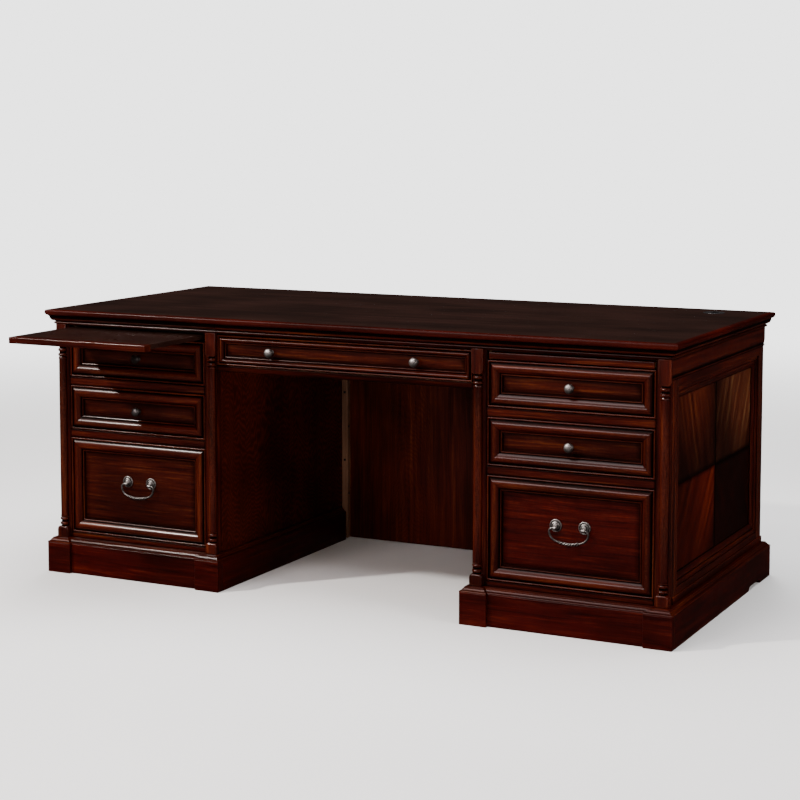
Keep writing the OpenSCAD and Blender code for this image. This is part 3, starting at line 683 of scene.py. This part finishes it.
def build_grommet():
    low, high = box("grommet_liner")
    c = Vector(((low.x + high.x) / 2, (low.y + high.y) / 2, low.z))
    r, h = (high.x - low.x) / 2, high.z - low.z
    ring = Shell()
    inner, seat, well = r - 7.3, r - 6, GROMMET_WELL - 0.3
    profile = [(inner, 0), (well, 0), (well, h - 2), (r, h - 2)]
    profile += bend(r - 1.2, h - 1.2, 1.2, 1.2, 0, 90, 3)
    profile += [(seat + 0.5, h), (seat, h - 0.5), (seat, h - 7), (inner, h - 7)]
    turns = bend(0, 0, 1, 1, 0, 360, 72)[:-1]
    sections = [[c + Vector((p * u, p * v, q)) for p, q in profile] for u, v in turns]
    ring.loft(sections, [[0.0] * len(profile)] * len(turns), "black", ring=True)
    piece("grommet_ring", ring, "desk", "black_plastic", "grommet_liner")

    low, high = box("grommet_cap")
    r, mouth = (high.x - low.x) / 2, 8.0
    side = math.degrees(math.asin(mouth / r))
    outline = bend(0, 0, r, r, 90 - side, side - 270, 60) + bend(0, mouth, mouth, mouth, 180, 360, 16)
    lid = Shell()
    lid.prism(Vector((c.x, c.y, low.z)), X, Y, outline[::-1], high.z - low.z, "black", r=0.8, tone=0)
    piece("grommet_lid", lid, "desk", "black_plastic", "grommet_cap")


def build_cornices():
    """Three mitred runs on each pedestal, and a front and a rear run over the centre drawer."""
    low, high = box("right_cornice")
    base = Vector((0, 0, low.z))
    for side in ("right", "left"):
        shell = Shell()
        shell.sweep(base, X, Y, rectangle(low.x, low.y, high.x, high.y), cornice_shape,
                    ["cherry_x", "cherry_y"], backs=[22, 17, 15], closed=False)
        finish_side("cornice_run", shell, side, "cherry_wood", "cornice")
    low, high = box("centre_cornice")
    shell = Shell()
    for x0, x1, y, back in ((low.x, high.x, low.y, 20.5), (high.x, low.x, high.y, 13.5)):
        shell.sweep(base, X, Y, [(x0, y), (x1, y)], cornice_shape, ["cherry_x"], backs=[back], closed=False)
    piece("centre_cornice_run", shell, "desk", "cherry_wood", "centre_cornice")


def finish_side(name, shell, side, slot, *nodes):
    """Makes the right-hand piece from a shell as drawn, or the left-hand one from its mirror image."""
    if side == "left":
        shell.mirrored()
    piece(f"{side}_{name}", shell, "desk", slot, *(f"{side}_{n}" for n in nodes))


def build_case(side):
    """One pedestal without its drawers."""
    side_high = box("right_side_frame")[1]
    frame_low, frame_high = box("right_front_frame")
    panel_low, panel_high = box("right_side_panel")
    back_high = box("right_back")[1]
    frieze_low, frieze_high = box("right_frieze")
    out_x, in_x = side_high.x - PROUD, frame_low.x
    top, foot = frame_high.z, frame_low.z

    shell = Shell()
    shell.sweep(Vector((0, 0, frieze_low.z)), X, Y,
                [(frieze_high.x, frame_low.y), (frieze_high.x, frieze_high.y), (in_x, frieze_high.y)],
                frieze_shape, ["cherry_y", "cherry_x"], closed=False, backs=[PROUD, PROUD])
    finish_side("frieze_band", shell, side, "cherry_wood", "frieze")

    # Side frame: stiles and rails round the opening, in strips either side of the groove. The stiles
    # are painted lighter far in from their arrises and the rails a little lighter, a painted highlight
    # with wear, and the strips in the groove near black, painted shade.
    y0, y1 = panel_low.y - 0.3, panel_high.y + 0.3
    z0, z1 = panel_low.z - 0.3, panel_high.z + 0.3
    x0, groove_x = out_x - 19, out_x - 1.5
    b0, b1 = y0 - GROOVE_SET, y1 + GROOVE_SET
    a0, a1 = b0 - GROOVE_W, b1 + GROOVE_W
    c0, c1 = z0 - GROOVE_SET, z0 - GROOVE_SET + GROOVE_W
    shell = Shell()
    for a, b in ((frame_low.y + FRAME_T, a0), (b0, y0), (y1, b1), (a1, back_high.y)):
        shell.board((x0, a, foot), (out_x, b, top), "cherry_z", r=0.7, fade=16, tone=0.9)
    for a, b in ((a0, b0), (b1, a1)):
        shell.board((x0, a, foot), (groove_x, b, top), "cherry_z", r=0.2, tone=-1)
    for a, b in ((foot, c0), (c1, z0), (z1, top)):
        shell.board((x0, y0, a), (out_x - 0.05, y1, b), "cherry_y", r=0.6, tone=0.4)
    shell.board((x0, y0, c0), (groove_x, y1, c1), "cherry_y", r=0.2, tone=-1)
    origin = Vector((out_x, (y0 + y1) / 2, (z0 + z1) / 2))
    w, h = (y1 - y0) / 2, (z1 - z0) / 2
    thick = out_x - panel_high.x
    shell.sweep(origin, Y, Z, rectangle(-w, -h, w, h), lambda depth: side_shape(depth, thick),
                ["cherry_y", "cherry_z"], backs=[34] * 4)
    shell.sweep(Vector((0, 0, foot)), X, Y,
                [(side_high.x, frame_low.y + 30), (side_high.x, side_high.y), (in_x, side_high.y)],
                band_shape, ["cherry_y", "cherry_x"], closed=False, backs=[PROUD, PROUD])
    finish_side("side_framing", shell, side, "cherry_wood", "side_frame")

    # Four book-matched leaves, painted darker towards their edges: shade under the moulding.
    shell = Shell()
    mid = ((panel_low.y + panel_high.y) / 2, (panel_low.z + panel_high.z) / 2)
    for i, (a, b) in enumerate(((panel_low.y, mid[0] - 0.15), (mid[0] + 0.15, panel_high.y))):
        for j, (c, d) in enumerate(((panel_low.z, mid[1] - 0.15), (mid[1] + 0.15, panel_high.z))):
            shell.board((panel_low.x, a, c), (panel_high.x, b, d), f"leaf_{i}{j}", r=0.2, fade=12,
                        tone=-0.8)
    finish_side("panel_leaves", shell, side, "cherry_veneer", "side_panel")

    for name, node, kind in (("kneehole_board", "kneehole_side", "figured_z"),
                             ("back_board", "back", "veneer_z")):
        shell = Shell()
        # Both boards are painted a little darker along their arrises: shade.
        shell.board(*box(f"right_{node}"), kind, r=0.4, tone=-0.3)
        finish_side(name, shell, side, "cherry_veneer", node)

    build_front_frame(side, frame_low, frame_high)
    build_posts(side)
    build_plinth(side)
    build_runners(side)


def build_front_frame(side, low, high):
    """Two stiles, the rails between the drawers, and the deep rail under the writing slide."""
    upper_low, upper_high = box("right_upper_front")
    slide_low, slide_high = box("right_slide_lipping")
    case_low, case_high = box("right_guides")
    x0, x1, back = upper_low.x - 1.5, upper_high.x + 1.5, low.y + FRAME_T
    shell = Shell()
    # The stiles and rails are painted darker towards their arrises: shade round the drawer openings.
    for a, b in ((low.x, x0), (x1, high.x)):
        shell.board((a, low.y, low.z), (b, back, high.z), "cherry_z", r=0.8, tone=-0.55, fade=7)
    edges = [low.z]
    for level in LEVELS:
        front_low, front_high = box(f"right_{level}_front")
        edges += [front_low.z - 2, front_high.z + 2]
    edges[-1:] = [slide_high.z + 3, high.z]
    for a, b in zip(edges[::2], edges[1::2]):
        shell.board((x0, low.y + 0.05, a), (x1, back, b), "cherry_x", r=1.0, tone=-0.75, fade=4)
    shell.board((case_low.x, slide_high.y + 2, upper_high.z + 1),
                (case_high.x, slide_high.y + 32, slide_low.z + 4.5), "cherry_x", r=0.5, tone=0)
    finish_side("drawer_frame", shell, side, "cherry_wood", "front_frame")


def build_posts(side):
    """Block, rings, half column, rings and shoe, at both front corners of a pedestal."""
    low, high = box("right_posts")
    plane, foot, top = high.y, low.z, high.z
    shell = Shell()
    half, shoe, z0 = 16.5, 18.75, top - 66
    for x in (low.x + half, high.x - half):
        base = Vector((x, plane, 0))
        outline = [(-half + 5.5, z0), (half - 5.5, z0), (half - 1.6, z0 + 4), (half, z0 + 8.5),
                   (half, top), (-half, top), (-half, z0 + 8.5), (-half + 1.6, z0 + 4)]
        shell.prism(base, X, Z, outline, 10, "turned_z", r=1.2, tone=0.5)
        # The quirks by the rings are painted near black as shade, and the middle of the shaft lighter as a
        # painted highlight.
        profile = [(10.5, foot + 30, -0.8)] + ring_shape(foot + 39) + ring_shape(foot + 53)
        profile += [(12.9, foot + 59.4, 0.4), (13, foot + 61.6, 0.4), (12, foot + 62.4, -0.8),
                    (11.9, foot + 64, 0), (12.1, foot + 200, 0.5), (12.1, z0 - 120, 0.5),
                    (11.9, z0 - 36.4, 0), (12, z0 - 34.8, -0.8), (13, z0 - 34, 0.4), (12.9, z0 - 31.8, 0.4)]
        profile += ring_shape(z0 - 23) + ring_shape(z0 - 9) + [(10.5, z0, -0.8)]
        shell.turned(base, Z, profile, "turned_z", steps=36, half=-Y)
        outline = [(-shoe, foot), (shoe, foot)]
        outline += bend(shoe - 8, foot + 21, 8, 10, 0, 90) + bend(8 - shoe, foot + 21, 8, 10, 90, 180)
        shell.prism(base, X, Z, outline, 14, "turned_z", r=3.5, tone=0.35)
    finish_side("corner_posts", shell, side, "cherry_wood", "posts")


def ring_shape(z):
    """A turned ring 28 mm across between two quirks painted near black as shade; the ring itself is painted
    a little lighter.
    """
    ring = [(*p, 0.3) for p in bend(10.4, z, 3.6, 4, -80, 80, 8)]
    return [(10.4, z - 4.6, -1)] + ring + [(10.4, z + 4.6, -1)]


def build_plinth(side):
    """Four boards with a scallop under the outer one and a slot for the modesty panel in the inner
    one, the corner blocks, and the cap moulding that breaks forward over the blocks."""
    low, high = box("right_plinth")
    block_low, block_high = box("right_corner_blocks")
    cap_z = box("right_plinth_cap")[0].z
    body_low, body_high = box("right_front_frame")
    slot = (box("cleats")[0].y - 16, box("modesty_panel")[1].y + 1)
    front, rear = low.y + PLINTH_T, high.y - PLINTH_T
    shell = Shell()
    for kind, x, a, b in (("base_x", high.x, low.y, front), ("base_x", high.x, rear, high.y),
                          ("base_y", low.x + PLINTH_T, front, slot[0]),
                          ("base_y", low.x + PLINTH_T, slot[1], rear)):
        shell.board((low.x, a, 0), (x, b, high.z), kind, r=1.2, tone=0.2)
    r, scallop = 11, (block_low.y + 680, block_low.y + 790)
    outline = [(front, high.z), (front, 0), (scallop[0], 0)] + bend(scallop[0] + r, 0, r, r, 180, 90, 9)
    outline += bend(scallop[1] - r, 0, r, r, 90, 0, 9) + [(rear, 0), (rear, high.z)]
    shell.prism(Vector((high.x - PLINTH_T, 0, 0)), Y, Z, outline, PLINTH_T, "base_y", r=0.8, tone=0.2)
    finish_side("plinth_boards", shell, side, "cherry_wood", "plinth")

    shell = Shell()
    for x in (block_low.x, block_high.x - FOOT_W):
        shell.board((x, block_low.y, 0), (x + FOOT_W, block_high.y, high.z), "base_x", r=1.2, tone=0.2)
    finish_side("plinth_blocks", shell, side, "cherry_wood", "corner_blocks")

    shell = Shell()
    x0, x1, y0, y1, step = low.x, high.x, block_low.y, high.y, low.y - block_low.y
    path = [(x0, slot[0]), (x0, y0), (x0 + FOOT_W, y0), (x0 + FOOT_W, y0 + step), (x1 - FOOT_W, y0 + step),
            (x1 - FOOT_W, y0), (x1, y0), (x1, y1), (x0, y1), (x0, slot[1])]
    depth_front, depth_inner = body_low.y + 1 - y0, body_low.x + 1 - x0
    backs = [depth_inner, depth_front, 30, depth_front - step, 30, depth_front, x1 - body_high.x + 1, 24,
             depth_inner]
    shell.sweep(Vector((0, 0, cap_z)), X, Y, path, cap_shape, ["cherry_y", "cherry_x"], backs,
                closed=False, dark=0.3)
    finish_side("plinth_moulding", shell, side, "cherry_wood", "plinth_cap")


def channel(shell, x, y0, y1, z, facing):
    """A bright C-shaped channel with its back at x, opening in the facing direction."""
    d, h, t = 8, 12, 1.5
    rim, lip = h + t, h + t - 3.2
    outline = [(0, -rim), (d, -rim), (d, -lip), (d - t, -lip), (d - t, -h), (t, -h),
               (t, h), (d - t, h), (d - t, lip), (d, lip), (d, rim), (0, rim)]
    loops = [[Vector((x + facing * a, y, z + b)) for a, b in outline] for y in (y0, y1)]
    shell.flat(loops, "steel")


def build_runners(side):
    """Packing blocks, steel channels and the grooved guides of the writing slide."""
    low, high = box("right_guides")
    steel_shell, wood_shell = Shell(), Shell()
    for name in LEVELS:
        front_low, front_high = box(f"right_{name}_front")
        box_high = box(f"right_{name}_box")[1]
        z = (front_low.z + front_high.z) / 2
        x0, x1 = front_low.x - 1.5, front_high.x + 1.5
        y0, y1 = low.y, box_high.y
        wood_shell.board((low.x, y0, z - 20), (x0, y1, z + 20), "box_y", r=0.8, tone=0.2)
        wood_shell.board((x1, y0, z - 20), (high.x, y1, z + 20), "box_y", r=0.8, tone=0.2)
        channel(steel_shell, x0, y0, y1, z, 1)
        channel(steel_shell, x1, y0, y1, z, -1)
    # Each side of a writing slide runs between a wall, a floor and a keeper.
    board_low, board_high = box("right_slide_board")
    floor, roof, end = board_low.z - 13, board_high.z + 10, low.y + 430
    for x, wall, facing in ((low.x, board_low.x - 0.7, 1), (high.x, board_high.x + 0.7, -1)):
        for reach, y0, z0, z1 in ((0, low.y, floor, roof), (23, low.y + 36, floor, board_low.z - 0.5),
                                  (7, low.y, board_high.z + 0.8, roof)):
            a, b = sorted((x, wall + facing * reach))
            wood_shell.board((a, y0, z0), (b, end, z1), "box_y", r=0.6, tone=0.2)
    finish_side("runner_blocks", wood_shell, side, "drawer_wood")
    finish_side("runner_channels", steel_shell, side, "runner_steel", "guides")


def build_kneehole():
    low, high = box("kneehole_rails")
    front_high = box("centre_front")[1]
    shell = Shell()
    # The lower rail takes a darker copy of the cherry; both rails are painted darker towards their arrises
    # as shade, the modesty board a little darker along its arrises, and the cleats lighter, a painted
    # highlight with wear.
    shell.board((low.x, low.y, low.z), (high.x, high.y, low.z + 16), "rail_x", r=1.2, fade=6, tone=-0.6)
    shell.board((low.x, low.y, front_high.z + 2), (high.x, high.y, high.z), "cherry_x", r=0.8, tone=-0.7)
    piece("kneehole_rail_pair", shell, "desk", "cherry_wood", "kneehole_rails")

    low, high = box("modesty_panel")
    shell = Shell()
    shell.board(low, high, "modesty_z", r=0.5, tone=-0.2)
    piece("modesty_board", shell, "desk", "cherry_veneer", "modesty_panel")

    low, high = box("cleats")
    shell = Shell()
    for x in (low.x, high.x - CLEAT_T):
        shell.board((x, low.y, low.z), (x + CLEAT_T, high.y, high.z), "raw_z", r=0.8, tone=0.3)
    piece("cleat_pair", shell, "desk", "cleat_wood", "cleats")
    build_screws(low, high)

    low, high = box("centre_guides")
    shell = Shell()
    z = (low.z + high.z) / 2
    channel(shell, low.x, low.y, high.y, z, 1)
    channel(shell, high.x, low.y, high.y, z, -1)
    piece("centre_channels", shell, "desk", "runner_steel", "centre_guides")


def build_screws(low, high):
    """Countersunk heads with a cross recess, painted as near-black bars, on both faces of each cleat."""
    shell = Shell()
    for side in (-1, 1):
        face = side * (high.x - CLEAT_T)
        for z in (142, 353, 564):
            screw_head(shell, Vector((face, (low.y + high.y) / 2, z)), X * -side)
        for z in (248, 461, 672):
            screw_head(shell, Vector((side * (high.x - CLEAT_T / 2), low.y, z)), -Y)
    piece("cleat_screw_heads", shell, "desk", "black_screw", "cleat_screws")


def screw_head(shell, place, axis):
    shell.turned(place, axis, [(4, 0, 0), (3.9, 0.5, 0.2), (3.2, 1, 0.2), (2.5, 1.2, 0)], "screw", steps=24)
    # The cross recess isn't cut into the head: two thin near-black bars laid on it paint the hollow as
    # shade.
    other = axis.cross(Z)
    for a, b in ((Z, other), (other, Z)):
        loops = [[place + a * s + b * t + axis * h for s, t in rectangle(-1.9, -0.35, 1.9, 0.35)]
                 for h in (1.1, 1.24)]
        shell.flat(loops, "recess", -1.0)


def build_slide(side):
    """A thin board, and the round-nosed lipping across its front."""
    low, high = box(f"{side}_slide_board")
    shell = Shell()
    shell.board(low, high, "top_x", r=0.6, tone=0.35)
    piece(f"{side}_slide_leaf", shell, f"{side}_slide", "dark_top", f"{side}_slide_board")
    low, high = box(f"{side}_slide_lipping")
    shell = Shell()
    d, h, r = high.y - low.y, high.z - low.z, 3.0
    outline = [(d, 0), (d, h)] + bend(r, h - r, r, r, 90, 180) + bend(r, r, r, r, 180, 270)
    inner = [(min(max(a, 1.0), d - 1.0), min(max(b, 1.0), h - 1.0)) for a, b in outline]
    steps = [(low.x, inner, 0.4), (low.x + 1, outline, 0.4), (low.x + 4, outline, 0)]
    steps += [(high.x - 4, outline, 0), (high.x - 1, outline, 0.4), (high.x, inner, 0.4)]
    loops = [[Vector((x, low.y + a, low.z + b)) for a, b in line] for x, line, _ in steps]
    shell.loft(loops, [[t] * len(outline) for _, _, t in steps], "cherry_x")
    piece(f"{side}_slide_nosing", shell, f"{side}_slide", "cherry_wood", f"{side}_slide_lipping")


def build_drawer(name, body, wide):
    """A drawer's front and its box of separate boards on two running bars."""
    low, high = box(f"{name}_front")
    frame_y = box("kneehole_rails")[0].y
    thick = high.y - frame_y
    centre = Vector(((low.x + high.x) / 2, frame_y, (low.z + high.z) / 2))
    w, h = (high.x - low.x) / 2, (high.z - low.z) / 2
    shell = Shell()
    shell.sweep(centre, X, Z, rectangle(-w, -h, w, h), lambda depth: drawer_shape(depth, thick),
                ["cherry_x", "cherry_z"], backs=[wide] * 4)
    # The panel is painted darker towards its edges: shade under the moulding.
    shell.board((low.x + wide, frame_y + PANEL_SET, low.z + wide), (high.x - wide, high.y, high.z - wide),
                "field_x" if name == "right_file" else "panel_x", r=0.2, fade=16, tone=-0.6)
    piece(f"{name}_facing", shell, body, "cherry_wood", f"{name}_front")

    low, high = box(f"{name}_box")
    x0, x1 = low.x + BAR_T, high.x - BAR_T
    t = 12
    z_mid = centre.z
    shell = Shell()
    for a, b in ((x0, x0 + t), (x1 - t, x1)):
        shell.board((a, low.y, low.z), (b, high.y, high.z), "box_y", r=1.2, tone=0.2)
    for a, b in ((low.y, low.y + t), (high.y - t, high.y)):
        shell.board((x0 + t, a, low.z), (x1 - t, b, high.z - 0.2), "box_x", r=1.2, tone=0.2)
    shell.board((x0 + t - 3, low.y + t - 3, low.z + 8), (x1 - t + 3, high.y - t + 3, low.z + 14), "ply_x",
                r=0.4, tone=-0.25, fade=8)
    piece(f"{name}_carcase", shell, body, "drawer_wood", f"{name}_box")
    shell = Shell()
    for a, b in ((low.x, x0), (x1, high.x)):
        shell.board((a, low.y + 6, z_mid - 11.5), (b, high.y, z_mid + 11.5), "steel", r=1.5, tone=0)
    piece(f"{name}_runner_bars", shell, body, "runner_steel")


def build_knobs(node, body, centres):
    plane = box(node)[1].y
    outline = [(7.2, 0), (7.3, 0.8), (6.9, 1.5), (5.6, 2.2), (4.7, 3.4), (4.2, 5.4), (4.15, 7.4),
               (4.6, 9.4), (6.0, 10.8), (8.6, 11.5), (10.8, 12.8), (12.3, 14.8), (13, 17.4), (12.7, 19.4),
               (11.6, 21.6), (9.8, 23.4), (7.4, 24.8), (4.8, 25.6), (2.2, 25.95), (0.3, 26)]
    profile = eased([(r, h, -0.6 if 3 < h < 11 else (0.3 if h > 13 else 0)) for r, h in outline], 2)
    shell = Shell()
    for x, z in centres:
        shell.turned(Vector((x, plane, z)), -Y, profile, "pewter", steps=40)
    piece(f"{node}_casting", shell, body, "pewter", node)


def build_rosettes(side):
    """Domed rosettes with a sunk ring, and the bored lugs that hold the bail."""
    node = f"{side}_file_rosettes"
    low, high = box(node)
    bail_low, bail_high = box(f"{side}_file_bail")
    z, pivot_y, pivot_z = high.z - ROSETTE_R, (bail_low.y + bail_high.y) / 2, high.z - ROSETTE_R - 5
    depth = high.y - pivot_y
    profile = [(15.6, 0, -0.4), (16.5, 0.6, 0.2), (16.5, 1.7, 0.4), (15.7, 2.9, 0.5), (14.6, 3.3, 0.4),
               (13.6, 2.9, -0.4), (12.9, 2.4, -1), (12.2, 2.6, -0.7), (11.5, 3.4, 0.1), (10.2, 4.9, 0.3),
               (8.6, 5.9, 0.2), (7.6, 6.0, -0.8), (6.9, 6.1, -0.7), (6.1, 6.9, 0.3), (4.2, 7.5, 0.5),
               (1.8, 7.7, 0.6), (0.2, 7.75, 0.6)]
    stem = [(4.4, 0, -0.4), (4.3, depth * 0.6, -0.2), (4.3, depth, 0)]
    lug = [(2.5, -4.5, -0.6), (3.9, -4.5, 0.1), (4.5, -3.7, 0.4), (4.5, 3.7, 0.4), (3.9, 4.5, 0.1),
           (2.5, 4.5, -0.6)]
    shell = Shell()
    for x in (low.x + ROSETTE_R, high.x - ROSETTE_R):
        shell.turned(Vector((x, high.y, z)), -Y, eased(profile, 2), "pewter", steps=48)
        shell.turned(Vector((x, high.y, pivot_z)), -Y, stem, "pewter", steps=24)
        shell.turned(Vector((x, pivot_y, pivot_z)), X, lug, "pewter", steps=32)
    piece(f"{node}_casting", shell, f"{side}_file_drawer", "pewter", node)


def bail_line(low, high):
    """Points along the bail from pin to pin: pin, corner bend, hip, belly, hip, corner bend, pin.
    Also how many of them belong to a pin."""
    tip_x, corner_r, hip_r = (high.x - low.x) / 2 - 3.1, 9.0, 24.0
    pivot_z, bottom_z = high.z - 2.8, low.z + 4
    corner_x, hip_x, hip_z = tip_x - corner_r, tip_x - hip_r, pivot_z - corner_r
    fall = hip_z - bottom_z
    belly_r = (hip_x ** 2 + fall ** 2 - hip_r ** 2) / (2 * (fall - hip_r))
    swing = math.degrees(math.asin(hip_x / (belly_r - hip_r)))
    pin = [(corner_x - back, pivot_z) for back in (11.5, 8, 4, 0.6)]
    half = pin + bend(corner_x, hip_z, corner_r, corner_r, 90, 0, 8)
    half += bend(hip_x, hip_z, hip_r, hip_r, 0, swing - 90, 16)[1:]
    belly = bend(0, bottom_z + belly_r, belly_r, belly_r, swing - 90, -swing - 90, 120)[1:-1]
    return half + belly + [(-x, z) for x, z in reversed(half)], len(pin)


def build_bail(side):
    """A swinging bail: plain bent ends, and a belly twisted like a rope of three strands between two
    beads."""
    node = f"{side}_file_bail"
    low, high = box(node)
    middle = (low + high) / 2
    line, pin_count = bail_line(low, high)
    sections, tones, run = [], [], 0.0
    for i, (x, z) in enumerate(line):
        before, after = line[max(i - 1, 0)], line[min(i + 1, len(line) - 1)]
        tangent = Vector((after[0] - before[0], 0, after[1] - before[1])).normalized()
        normal = Y.cross(tangent)
        if i:
            run += math.dist(line[i - 1], line[i])
        pin = i < pin_count or i >= len(line) - pin_count
        bead = 0.0 if pin else max(0.0, 1 - abs(abs(x) - ROPE_HALF) / 2.4)
        rope = 0.0 if pin else max(0.0, min(1.0, (ROPE_HALF - abs(x)) / 1.5))
        thick = PIN_R if pin else BAR_R + (ROPE_R - BAR_R) * rope
        loop, row = [], []
        for a in (math.radians(15 * k) for k in range(24)):
            wave = math.cos(3 * a - run * 0.8)
            r = max(thick * (1 + 0.22 * rope * wave), 4.5 * math.sqrt(1 - (1 - bead) ** 2))
            loop.append(Vector((middle.x + x, middle.y, z)) + (Y * math.cos(a) + normal * math.sin(a)) * r)
            row.append(rope * (1.3 * wave - 0.45) + (1 - rope) * (-0.05 - 0.6 * bead * (1 - bead)))
        sections.append(loop)
        tones.append(row)
    shell = Shell()
    shell.loft(sections, tones, "pewter")
    piece(f"{node}_rope", shell, f"{side}_bail", "pewter", node, sharp=math.radians(60))


# ---------------------------------------------------------------- assembly

def make_materials():
    wood_set("cherry", CHERRY, "xyz")
    wood_set("edge", EDGE, "xy", coat=0.06, shine=0.04, rough=0.4)
    wood_set("turned", CHERRY, "z", rough=0.36, coat=0.5)
    wood_set("base", tinted(CHERRY, 0.85, 0.4, 0.5), "xy")
    wood_set("field", tinted(CHERRY, 0.85, 0.42, 0.4), "x", figure=0.12, fineness=2.2)
    wood_set("rail", tinted(CHERRY, 0.6, 0.6, 0.6), "x", coat=0.05, shine=0.03)
    wood_set("veneer", VENEER, "z", figure=0.4)
    wood_set("panel", VENEER, "x", figure=0.12, fineness=2.0)
    # The kneehole's side boards and modesty panel take the veneer made lighter, the side boards also
    # redder: painted light, standing in for light reaching into the kneehole.
    wood_set("figured", tinted(VENEER, 1.2, 0.9, 0.9), "z", figure=1.0, rough=0.45, coat=0.05)
    wood_set("modesty", tinted(VENEER, 1.6, 1.6, 1.6), "z", figure=0.35, rough=0.5, coat=0.05)
    wood_set("top", TOP, "x", figure=0.2, rough=0.3, coat=0.2, open_pores=0)
    wood_set("box", BOX, "xy", rough=0.5, coat=0.05)
    wood_set("ply", BOX, "x", figure=0.5, rough=0.5, coat=0.05)
    wood_set("raw", RAW, "z", rough=0.6, coat=0.0)
    # Each leaf is the veneer painted lighter or darker for the sheen it catches, with its painted sheen
    # spot.
    for leaf, (tilt, shade, sheen) in LEAVES.items():
        MATERIALS[leaf] = wood(leaf, "z", **tinted(VENEER, *shade), figure=0.15, coat=0.05, shine=0.06,
                               tilt=tilt, sheen=sheen)
    for name, dark, bright, rough, polish in (
            ("pewter", (0.05, 0.045, 0.043), (0.56, 0.52, 0.50), 0.46, 0.95),
            ("screw", (0.01, 0.01, 0.01), (0.06, 0.06, 0.06), 0.45, 0.9),
            ("recess", (0.003, 0.003, 0.003), (0.02, 0.02, 0.02), 0.6, 0.9)):
        MATERIALS[name] = metal(name, dark, bright, rough, polish)
    MATERIALS["steel"] = steel("steel")
    MATERIALS["black"] = plastic("black")
    MATERIALS["floor"] = floor_material()


def floor_material():
    """Pale paper near the desk, which fades into the pale surround."""
    g = Graph("floor")
    place = g.place()
    cloud = g.noise(place, 1.2)
    colour = g.mix(cloud, rgb(0.84, 0.84, 0.84), rgb(0.88, 0.88, 0.875))
    g.set(Base_Color=colour, Roughness=0.9, Specular_IOR_Level=0.1)
    away = g.node("ShaderNodeVectorMath", operation="LENGTH")
    g.link(place, away.inputs[0])
    glow = g.node("ShaderNodeEmission")
    glow.inputs["Strength"].default_value = SURROUND
    blend = g.node("ShaderNodeMixShader")
    g.link(g.ramp(away.outputs["Value"], 2.2, 6.5), blend.inputs[0])
    g.link(g.shader.outputs[0], blend.inputs[1])
    g.link(glow.outputs[0], blend.inputs[2])
    g.link(blend.outputs[0], g.out.inputs["Surface"])
    return g.material


def add_floor():
    """A floor 60 m across."""
    mesh = bpy.data.meshes.new("floor")
    mesh.from_pydata([(x, y, 0) for x, y in rectangle(-30, -30, 30, 30)], [], [(0, 1, 2, 3)])
    mesh.materials.append(MATERIALS["floor"])
    floor = bpy.data.objects.new("floor", mesh)
    floor.visible_glossy = False
    bpy.context.scene.collection.objects.link(floor)


add_camera()
add_world()
add_studio()
make_materials()
add_floor()
build_top()
build_grommet()
build_cornices()
for hand in ("right", "left"):
    build_case(hand)
build_kneehole()
for hand in ("right", "left"):
    build_slide(hand)
    for level in reversed(LEVELS):
        build_drawer(f"{hand}_{level}", f"{hand}_{level}_drawer", BORDER)
        if level != "file":
            low, high = box(f"{hand}_{level}_knob")
            build_knobs(f"{hand}_{level}_knob", f"{hand}_{level}_drawer",
                        [((low.x + high.x) / 2, (low.z + high.z) / 2)])
    build_rosettes(hand)
    build_bail(hand)
build_drawer("centre", "centre_drawer", CENTRE_BORDER)
low, high = box("centre_knobs")
build_knobs("centre_knobs", "centre_drawer",
            [(x, (low.z + high.z) / 2) for x in (low.x + 13, high.x - 13)])
